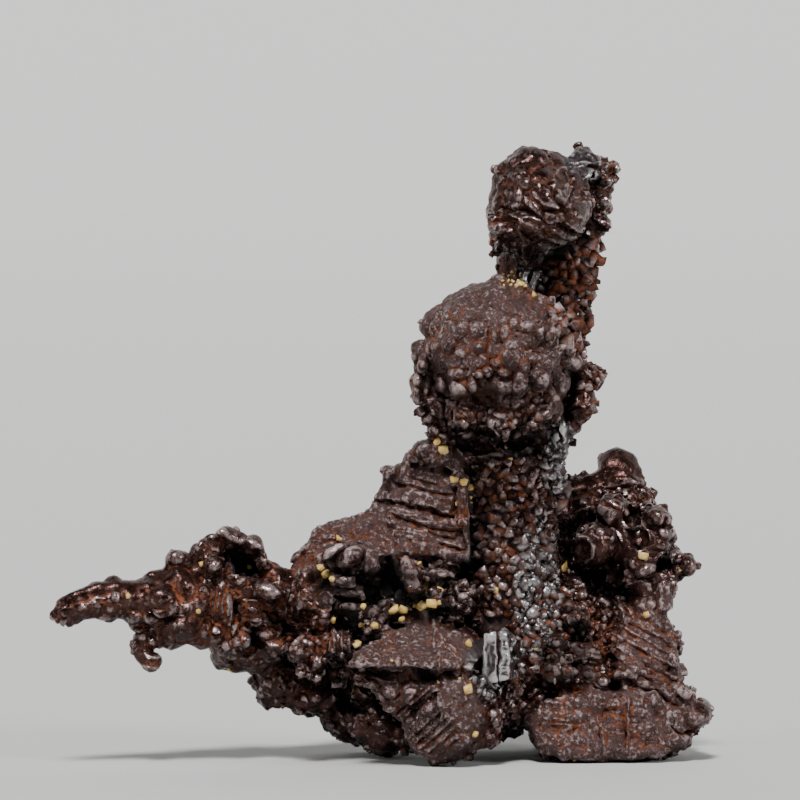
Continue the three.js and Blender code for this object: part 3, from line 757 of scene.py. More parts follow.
class Carving:
    """Heights for the points that the camera sees, from shapes in the picture plane."""

    def __init__(self, skin):
        self.skin = skin
        stray = [noise(skin.points, 0.45, seed) for seed in (41, 42)]
        self.spots = skin.picture() + STRAY * np.stack(stray, axis=1)
        self.seen = skin.front()
        self.heights = np.zeros(len(self.spots))
        self.raised = np.zeros(len(self.spots))
        self.touched = np.zeros(len(self.spots), bool)

    def near(self, line, reach):
        """Which points lie near a line, how far from it, and on which side: + is above or left."""
        line = np.array(line, float).reshape(-1, 2)
        low, high = line.min(0) - reach, line.max(0) + reach
        around = np.all((self.spots > low) & (self.spots < high), axis=1)
        chosen = np.flatnonzero(around & (self.seen > 0))
        spots = self.spots[chosen]
        far = np.full(len(chosen), FAR_OFF)
        side = np.ones(len(chosen))
        pairs = zip(line[:-1], line[1:]) if len(line) > 1 else [(line[0], line[0])]
        for a, b in pairs:
            run = b - a
            length = max(run @ run, 1e-9)
            along = np.clip((spots - a) @ run / length, 0, 1)
            off = spots - a - along[:, None] * run
            distance = np.linalg.norm(off, axis=1)
            closer = distance < far
            far[closer] = distance[closer]
            turn = run[0] * off[:, 1] - run[1] * off[:, 0]
            side[closer] = np.sign(turn[closer])
        return chosen, far, side

    def raise_line(self, height, width, line):
        """A rounded ridge along the line, or a groove if the height is below 0."""
        chosen, far, _ = self.near(line, 3 * width)
        self.heights[chosen] += height * np.exp(-((far / width) ** 2))

    def cut(self, depth, ramp, line):
        """A drop at the line and a ramp back below it, as at the edge of an overlapping layer."""
        chosen, far, side = self.near(line, ramp)
        below = np.clip(0.5 - side * far / BEVEL, 0, 1)
        self.heights[chosen] -= depth * below * np.clip(1 - far / ramp, 0, 1)

    def dome(self, height, across, up, width, tall, lean=0.0):
        """A round swelling, which meets its neighbours in a crease."""
        off = self.spots - (across, up)
        reach = CREASE_END * max(width, tall)
        chosen = np.flatnonzero((np.abs(off).max(axis=1) < reach) & (self.seen > 0))
        x, y = off[chosen].T
        turn = math.radians(lean)
        along = (x * math.cos(turn) - y * math.sin(turn)) / width
        aside = (x * math.sin(turn) + y * math.cos(turn)) / tall
        far = np.hypot(along, aside)
        back_up = (1 - CREASE**2) * (CREASE_END - far) / (CREASE_END - CREASE)
        rise = height * np.where(far < CREASE, 1 - far**2, back_up)
        near = far < CREASE_END
        self.raise_to(chosen[near], rise[near])

    def raise_to(self, chosen, rise):
        """Raises points to a height, where nothing raised them further before."""
        before = np.where(self.touched[chosen], self.raised[chosen], UNTOUCHED)
        self.raised[chosen] = np.maximum(before, rise)
        self.touched[chosen] = True

    def within(self, outline, bevel):
        """The points about an outline, and from 0 to 1 how far inside its edge they are."""
        chosen, far, _ = self.near([*outline, outline[0]], 0)
        return chosen, inside(self.spots[chosen], outline) * np.clip(far / bevel, 0, 1)

    def facet(self, height, rightwards, upwards, outline):
        """A flat face with that outline, which may rise to the right or upwards."""
        chosen, share = self.within(outline, BEVEL)
        off = self.spots[chosen] - np.mean(outline, axis=0)
        rise = (height + off @ (rightwards, upwards)) * share
        self.raise_to(chosen[share > 0], rise[share > 0])

    def hollow(self, depth, outline):
        """A hole with that outline and sloping walls."""
        chosen, share = self.within(outline, BEVEL + 0.2 * depth)
        self.heights[chosen] -= depth * share

    def calm(self):
        """From 0 to 1, where faces and swellings lie, so that the skin is smooth there."""
        return np.clip(self.raised / 0.08, 0, 1) * self.seen

    def apply(self):
        """Moves the skin by the heights, half outwards and half towards the camera."""
        toward = self.skin.averaged(self.skin.normals) - np.array([0, 0.8, 0])
        toward /= np.linalg.norm(toward, axis=1, keepdims=True)
        self.skin.points += ((self.heights + self.raised) * self.seen)[:, None] * toward
        self.skin.renew()


# How strongly each region's swellings and flat faces stand out, where it isn't 1.
DOME_STRENGTH = {
    "middle ball": 1.7,
    "arm": 1.4,
    "finger": 0.8,
    "under the ball": 0.8,
    "foot": 1.5,
    "ledge and keel": 0.6,
    "keel's right": 0.6,
}
# How much wider each region's swellings are than in the table, so that they overlap.
DOME_SPREAD = {"middle ball": 1.1, "keel's right": 1.3, "arm": 1.15, "finger": 1.2}
FACET_STRENGTH = {"top ball": 0.6, "rear block": 0.8}
# Round swellings are (height, across, up, half width, half height, lean clockwise in degrees).
DOMES = {
    "top ball": [
        (0.1, 33.3, 40.2, 1.0, 0.6), (0.15, 34.06, 40.12, 0.62, 0.5), (0.15, 35, 40, 0.5, 0.44),
        (0.12, 32.94, 39.81, 0.62, 0.31), (0.2, 33.94, 39.25, 0.56, 0.44),
        (0.25, 31.75, 39.81, 0.75, 0.31, -35), (0.3, 31.12, 39.38, 0.25, 0.25),
        (0.3, 31.81, 37.94, 0.44, 0.5), (0.3, 32.38, 37.75, 0.25, 0.62),
        (0.3, 31.44, 38.44, 0.19, 0.56, 15), (0.2, 32.81, 38.56, 0.44, 0.38),
        (0.2, 32.06, 39, 0.44, 0.38), (0.2, 32.75, 39.25, 0.38, 0.31), (0.25, 32.25, 37.19, 0.31, 0.25),
        (0.2, 31.06, 37.19, 0.31, 0.88, 12), (0.2, 30.56, 36.44, 0.38, 0.5),
        (0.35, 36.94, 39, 0.56, 0.5), (0.25, 37.19, 38.44, 0.69, 0.31), (0.3, 38.25, 38.62, 0.44, 0.31),
        (0.35, 38.56, 39.5, 0.25, 0.44), (0.2, 37.94, 39.56, 0.25, 0.31),
        (0.15, 35.12, 34.81, 1.38, 0.5, 12), (0.3, 34.12, 34.19, 0.56, 0.31),
        (0.2, 35.12, 34.25, 0.5, 0.31), (0.15, 36, 39, 0.38, 0.56), (0.15, 33.44, 35.25, 0.56, 0.31),
    ],
    "upper column": [
        (0.3, 36.25, 34, 0.75, 0.44), (0.25, 37.06, 34.44, 0.5, 0.38), (0.3, 35.19, 33.25, 0.5, 0.38),
        (0.3, 36.25, 33.19, 0.62, 0.38), (0.25, 34.38, 32.94, 0.38, 0.25),
        (0.25, 37.19, 33.62, 0.25, 0.44), (0.3, 34.56, 32.31, 0.31, 0.25),
        (0.3, 35.25, 32.44, 0.38, 0.25), (0.35, 36.25, 32.5, 0.56, 0.38), (0.3, 35, 31.88, 0.5, 0.25),
        (0.35, 35.88, 31.5, 0.56, 0.25), (0.25, 34.44, 31.25, 0.38, 0.25),
        (0.2, 33.75, 31.88, 0.31, 0.38), (0.4, 35.94, 30.56, 0.69, 0.5),
        (0.25, 34.81, 30.56, 0.25, 0.31), (0.25, 36.69, 30.56, 0.25, 0.56),
        (0.25, 35.31, 31.12, 0.38, 0.25), (0.2, 37.06, 31.56, 0.19, 0.75),
        (0.2, 36.88, 29.06, 0.19, 0.62), (0.25, 34.19, 31.5, 0.31, 0.25),
    ],
    "middle ball": [
        (0.25, 26.88, 28.44, 0.25, 0.56, 10), (0.25, 26.44, 27.19, 0.31, 0.56, 10),
        (0.25, 26.12, 26.25, 0.25, 0.38), (0.25, 26, 25.25, 0.31, 0.69),
        (0.25, 27.19, 29.5, 0.31, 0.62, 10), (0.25, 27.31, 28.31, 0.31, 0.38),
        (0.15, 27.5, 27.12, 0.38, 0.5), (0.09, 30.62, 31.31, 0.62, 0.25),
        (0.12, 28.88, 31, 0.56, 0.31, -20), (0.2, 27.94, 30.38, 0.31, 0.5, 20),
        (0.15, 28.5, 30.5, 0.31, 0.44, 10), (0.16, 29.38, 30.5, 0.5, 0.5),
        (0.16, 30.25, 30.38, 0.5, 0.44), (0.13, 31.44, 30.12, 0.5, 0.5), (0.1, 32.5, 30.94, 0.88, 0.38),
        (0.1, 33.75, 30.88, 0.62, 0.38, 10), (0.3, 28.69, 29.38, 0.75, 0.62, -20),
        (0.3, 28.06, 28.56, 0.44, 0.69, 10), (0.32, 28.81, 28, 0.38, 0.44),
        (0.2, 28.5, 27.38, 0.69, 0.56), (0.25, 29.88, 28.31, 0.56, 0.44),
        (0.18, 29.75, 29.38, 0.56, 0.56), (0.2, 30.94, 29.06, 0.31, 0.81),
        (0.2, 31.56, 29.25, 0.31, 0.56), (0.2, 32.06, 29.88, 0.38, 0.5),
        (0.3, 32.88, 29.62, 0.56, 0.38), (0.16, 33.38, 30.44, 0.5, 0.31),
        (0.16, 34.19, 30.44, 0.5, 0.38), (0.3, 33.75, 29.19, 0.31, 0.56, 5),
        (0.3, 34.38, 29.25, 0.25, 0.56), (0.12, 33.12, 28.88, 0.38, 0.38), (0.2, 32, 28.44, 0.5, 0.44),
        (0.25, 31.94, 27.62, 0.69, 0.69), (0.15, 30.88, 28.12, 0.5, 0.5), (0.15, 30, 27.38, 0.5, 0.31),
        (0.25, 31, 27.38, 0.38, 0.25), (0.35, 31.56, 26.81, 0.38, 0.31), (0.3, 30.5, 26.75, 0.31, 0.31),
        (0.35, 29.94, 26.62, 0.31, 0.25), (0.3, 31.5, 26, 0.88, 0.5), (0.3, 28.56, 26.69, 0.56, 0.38),
        (0.3, 27.69, 26.06, 0.38, 0.5), (0.4, 28.75, 25.75, 0.56, 0.5), (0.35, 29.5, 26, 0.25, 0.44),
        (0.3, 32.75, 27.12, 0.38, 0.38), (0.4, 32.44, 26.12, 0.44, 0.81),
        (0.35, 33.75, 26.31, 0.56, 0.69), (0.5, 33.75, 26.25, 0.25, 0.31),
        (0.25, 34.38, 25.44, 0.31, 0.44), (0.2, 33.38, 27.62, 0.5, 0.25),
        (0.2, 34.25, 27.25, 0.38, 0.38),
    ],
    "under the ball": [
        (0.4, 27.5, 24.75, 0.5, 0.38, 20), (0.25, 26.81, 25, 0.31, 0.31),
        (0.3, 31.25, 25.06, 0.25, 0.38), (0.35, 29.31, 24.12, 0.56, 0.38),
        (0.35, 28.81, 23.56, 0.5, 0.44), (0.35, 30.25, 24, 0.38, 0.56), (0.25, 29.88, 23.31, 0.5, 0.25),
        (0.3, 31.06, 23.88, 0.31, 0.44), (0.3, 32.25, 24.75, 0.44, 0.31, 10),
        (0.35, 33.12, 24.56, 0.56, 0.31, 10), (0.25, 34.25, 23.38, 0.5, 0.31),
        (0.3, 31.56, 22.94, 0.44, 0.25), (0.25, 32.62, 23.06, 0.38, 0.25),
        (0.2, 33.44, 23.12, 0.38, 0.25), (0.3, 30.31, 22.62, 0.5, 0.25),
        (0.25, 29.56, 22.88, 0.38, 0.31), (0.3, 31.06, 22.69, 0.25, 0.38),
        (0.3, 29.38, 21.75, 0.31, 0.19), (0.3, 30.44, 22, 0.31, 0.25), (0.25, 28.44, 22.44, 0.38, 0.25),
        (0.3, 26.75, 23.88, 0.31, 0.38, 20), (0.3, 27.12, 23.12, 0.38, 0.44, 20),
        (0.25, 27.75, 22.75, 0.38, 0.31, 20), (0.3, 26.69, 21.94, 0.75, 0.56, -10),
        (0.3, 31.88, 22.06, 0.38, 0.25), (0.25, 32.75, 22.38, 0.31, 0.25),
        (0.3, 31.12, 21.56, 0.38, 0.19),
    ],
    "ball's right side": [
        (0.45, 35.81, 27.31, 0.56, 0.5), (0.3, 35.44, 28.88, 0.31, 0.56, 10),
        (0.35, 36.06, 28.44, 0.31, 0.5), (0.2, 36.56, 29.38, 0.19, 0.5),
        (0.2, 34.69, 27.88, 0.44, 0.25), (0.4, 35.06, 26.06, 0.38, 0.94),
        (0.35, 36.19, 25.94, 0.62, 0.56), (0.35, 37, 26.69, 0.38, 0.56, -10),
        (0.3, 37.31, 26.25, 0.31, 0.38), (0.3, 36.75, 25.25, 0.5, 0.5),
        (0.35, 36, 25.06, 0.38, 0.5, 10), (0.2, 36.5, 24.44, 0.56, 0.31), (0.2, 37, 24.56, 0.31, 0.38),
        (0.2, 36.25, 23.69, 0.5, 0.44), (0.2, 35.38, 28, 0.31, 0.25),
    ],
    "beside the cavity": [
        (0.5, 21.88, 15.19, 1, 0.56, -38), (0.3, 29.06, 13.62, 0.38, 0.31),
        (0.3, 29.5, 13.06, 0.31, 0.38), (0.3, 28.94, 12.69, 0.38, 0.31),
        (0.3, 29.56, 12.25, 0.31, 0.31), (0.25, 29.12, 11.81, 0.38, 0.25),
        (0.25, 19.5, 13.25, 0.5, 0.38), (0.25, 20.31, 12.5, 0.5, 0.44), (0.3, 19.25, 14.06, 0.44, 0.38),
        (0.25, 19.56, 12.12, 0.38, 0.31), (0.25, 26.25, 13.25, 0.31, 0.38),
        (0.2, 27, 13.12, 0.31, 0.31), (0.25, 24.56, 11.75, 0.38, 0.31),
        (0.25, 23.94, 11.38, 0.31, 0.31), (0.2, 21.88, 10.5, 0.38, 0.25),
        (0.3, 22.81, 10.38, 0.5, 0.38), (0.25, 23.81, 12.31, 0.31, 0.25), (0.4, 19.75, 9, 0.56, 0.62),
        (0.3, 19.88, 9.94, 0.38, 0.38), (0.3, 18.94, 9.5, 0.5, 0.5), (0.3, 19.25, 10.62, 0.56, 0.38),
    ],
    "ledge and keel": [
        (0.4, 22.94, 7.25, 0.75, 0.31, 10), (0.4, 23.25, 6.44, 0.81, 0.38, 20),
        (0.45, 24.38, 6.81, 0.5, 0.44), (0.3, 24.38, 5.62, 0.44, 0.44), (0.3, 23.62, 5.5, 0.44, 0.31),
        (0.15, 26.56, 5.31, 1, 1.38, 20),
    ],
    "keel's right": [
        (0.16, 28.6, 6.3, 0.55, 0.32, -35), (0.2, 29.25, 5.65, 0.5, 0.35, -35),
        (0.14, 28.3, 5.4, 0.45, 0.28, -35), (0.18, 29.0, 4.75, 0.55, 0.28, -35),
        (0.14, 28.1, 6.95, 0.4, 0.28), (0.16, 29.6, 6.4, 0.35, 0.4), (0.12, 28.35, 4.4, 0.4, 0.22, -35),
        (0.16, 29.7, 4.95, 0.3, 0.35),
    ],
    "prisms": [
        (0.4, 30.5, 6.56, 0.5, 0.38), (0.3, 29.62, 7.5, 0.31, 0.31), (0.3, 29.38, 8.25, 0.38, 0.31),
        (0.35, 32.69, 8.25, 0.38, 0.44), (0.3, 33.5, 8.44, 0.38, 0.44), (0.25, 32, 5.5, 0.44, 0.5),
        (0.2, 31.25, 4.69, 0.38, 0.5), (0.25, 30.81, 5.5, 0.38, 0.38), (0.25, 32.56, 6.88, 0.38, 0.44),
    ],
    "arm": [
        (0.3, 10.94, 15.19, 0.69, 0.5), (0.25, 11.88, 14.81, 0.5, 0.5),
        (0.15, 10.94, 13.88, 1.38, 0.88), (0.4, 10.19, 12.69, 0.88, 0.81),
        (0.25, 11.56, 13.44, 0.62, 0.88), (0.2, 9.38, 13.44, 0.5, 0.62, -30),
        (0.3, 10.75, 12.19, 0.5, 0.75), (0.45, 9.69, 11.5, 0.88, 0.44, -15),
        (0.2, 8.94, 12.5, 0.5, 0.75), (0.3, 8.44, 11.44, 0.44, 0.38), (0.35, 11.56, 10.75, 1, 0.75),
        (0.3, 10.38, 10.31, 0.56, 0.62), (0.3, 9.88, 9.88, 0.44, 0.5), (0.2, 11.88, 9.69, 0.75, 0.38),
        (0.3, 12.81, 10.62, 0.38, 0.62), (0.3, 13.44, 10.25, 0.56, 0.62), (0.25, 12.5, 9.69, 0.5, 0.31),
        (0.2, 8.12, 12.69, 0.62, 0.75), (0.2, 12.25, 14.06, 0.5, 0.88), (0.2, 12.69, 13.12, 0.38, 0.38),
        (0.15, 12.5, 12.19, 0.5, 0.62), (0.2, 13.3, 14.9, 0.85, 0.75),
        (0.5, 15, 13.56, 0.44, 0.25, -15), (0.5, 16.38, 13, 1.25, 0.56, 12),
        (0.4, 16.88, 12.5, 0.62, 0.56), (0.5, 15.75, 12, 0.69, 0.5), (0.4, 15.38, 10, 0.44, 0.56),
        (0.4, 18.75, 10, 1.06, 0.62), (0.3, 18, 9.69, 0.5, 0.5), (0.35, 19.12, 9.25, 0.62, 0.5),
        (0.4, 19.81, 8.69, 0.44, 0.62), (0.3, 18.94, 8.44, 0.31, 0.38), (0.3, 18.81, 7.88, 0.31, 0.31),
        (0.3, 19.88, 7.62, 0.31, 0.31), (0.25, 16.38, 14.62, 0.56, 0.38, 20),
        (0.2, 17.5, 14.06, 0.75, 0.5), (0.2, 17.81, 12.81, 0.5, 0.5), (0.25, 15.5, 10.62, 0.31, 0.25),
        (0.2, 19.38, 14.19, 0.56, 0.56), (0.25, 18.75, 12, 0.5, 0.5), (0.2, 20.31, 11.25, 0.5, 0.5),
        (0.25, 18.44, 10.94, 0.62, 0.31),
    ],
    "finger": [
        (0.2, 3.62, 12.44, 0.62, 0.31, -15), (0.2, 4.75, 12.88, 0.75, 0.38, -20),
        (0.2, 6.06, 13.25, 0.81, 0.38, -12), (0.2, 7.31, 13.38, 0.75, 0.44),
        (0.2, 4.12, 11.81, 0.56, 0.31), (0.25, 5.12, 12, 0.5, 0.38), (0.25, 6, 12.12, 0.5, 0.44),
        (0.25, 6.88, 12.12, 0.56, 0.56), (0.25, 7.62, 11.81, 0.44, 0.5), (0.2, 6.5, 11.38, 0.5, 0.25),
        (0.2, 7.5, 11, 0.44, 0.25), (0.2, 5.62, 11.44, 0.38, 0.19),
    ],
    "rear block": [
        (0.2, 38.75, 21.12, 1.5, 1), (0.2, 39.25, 20, 1.12, 0.31, 5),
        (0.2, 35.94, 19.62, 0.94, 0.56, -10), (0.12, 37, 20.19, 0.88, 0.38, -30),
        (0.2, 39.12, 19.12, 0.75, 0.38), (0.15, 35.19, 18.56, 0.56, 0.56), (0.2, 35, 17.44, 0.56, 0.38),
        (0.2, 34.75, 16.5, 0.56, 0.38), (0.2, 37.5, 16.81, 0.25, 0.25), (0.2, 38.25, 16.5, 0.38, 0.44),
        (0.35, 39.31, 17.88, 0.19, 0.19), (0.7, 40.12, 16.38, 0.25, 0.44),
        (0.4, 41.19, 17.62, 0.94, 0.56, 30), (0.4, 41.75, 16.75, 0.62, 0.5),
        (0.3, 41.31, 15.88, 0.62, 0.38), (0.4, 41.75, 15.25, 1, 0.5), (0.3, 43.1, 14.6, 0.5, 0.69),
        (0.4, 40.31, 14.38, 0.75, 0.44, -20), (0.3, 39.56, 14.75, 0.38, 0.5),
        (0.4, 37.94, 12.31, 0.5, 0.38), (0.2, 40.5, 18.56, 0.5, 0.31, 30), (0.2, 40, 12.25, 0.56, 0.44),
        (0.25, 40.69, 12.31, 0.31, 0.38),
    ],
    "column's foot": [
        (0.5, 35.31, 11.12, 0.88, 0.5, -15), (0.35, 35, 12.5, 0.38, 0.62, 30),
        (0.3, 35.56, 12.12, 0.31, 0.62), (0.35, 36.44, 11.94, 0.38, 0.38),
        (0.25, 34.38, 12.38, 0.38, 0.5), (0.3, 34.81, 13.56, 0.31, 0.56, 10),
        (0.3, 35.69, 13.12, 0.5, 0.38), (0.3, 36.44, 12.75, 0.38, 0.38),
        (0.35, 35.94, 9.38, 0.75, 0.56), (0.3, 36.88, 8.88, 1.12, 0.38),
        (0.3, 36.94, 10.31, 0.31, 0.44), (0.2, 34.56, 9.06, 0.5, 0.5),
        (0.4, 34.44, 7.62, 0.38, 0.31), (0.3, 36.88, 8, 0.56, 0.44), (0.25, 35.62, 8, 0.56, 0.38),
        (0.3, 37.38, 10.62, 0.38, 0.56), (0.3, 34.25, 10.62, 0.5, 0.38), (0.25, 34.88, 9.69, 0.5, 0.38),
        (0.3, 37.81, 11.56, 0.38, 0.5), (0.25, 33.75, 6.88, 0.5, 0.31), (0.25, 35.38, 6.75, 0.5, 0.38),
        (0.3, 37.69, 7.5, 0.56, 0.38), (0.3, 34.19, 14.38, 0.25, 0.5), (0.25, 36, 13.75, 0.38, 0.31),
        (0.3, 38.62, 7.81, 0.5, 0.31),
    ],
    "foot": [
        (0.4, 43.56, 5.5, 1.12, 1, 20), (0.2, 42.19, 4.88, 0.81, 0.88),
        (0.25, 42.81, 6.75, 0.88, 0.38, 30), (0.15, 40, 4.88, 0.88, 1.38),
        (0.12, 38.25, 4.25, 0.75, 1.25), (0.15, 35.94, 5.25, 0.88, 0.38), (0.12, 34.56, 6.06, 1, 0.31),
        (0.12, 34.25, 5.19, 1, 0.31), (0.12, 36.56, 3.94, 0.88, 0.5), (0.12, 34.69, 3.94, 0.75, 0.5),
        (0.2, 40.94, 3, 1, 0.38), (0.25, 42.5, 3.75, 0.75, 0.5), (0.2, 38.44, 6, 0.75, 0.31, -10),
        (0.3, 40.31, 7.31, 0.38, 0.31), (0.12, 37.5, 3.44, 0.62, 0.62), (0.2, 40.94, 6.25, 0.56, 0.56),
        (0.12, 33.12, 5, 0.5, 0.62), (0.1, 33, 3.62, 0.62, 0.5),
    ],
}
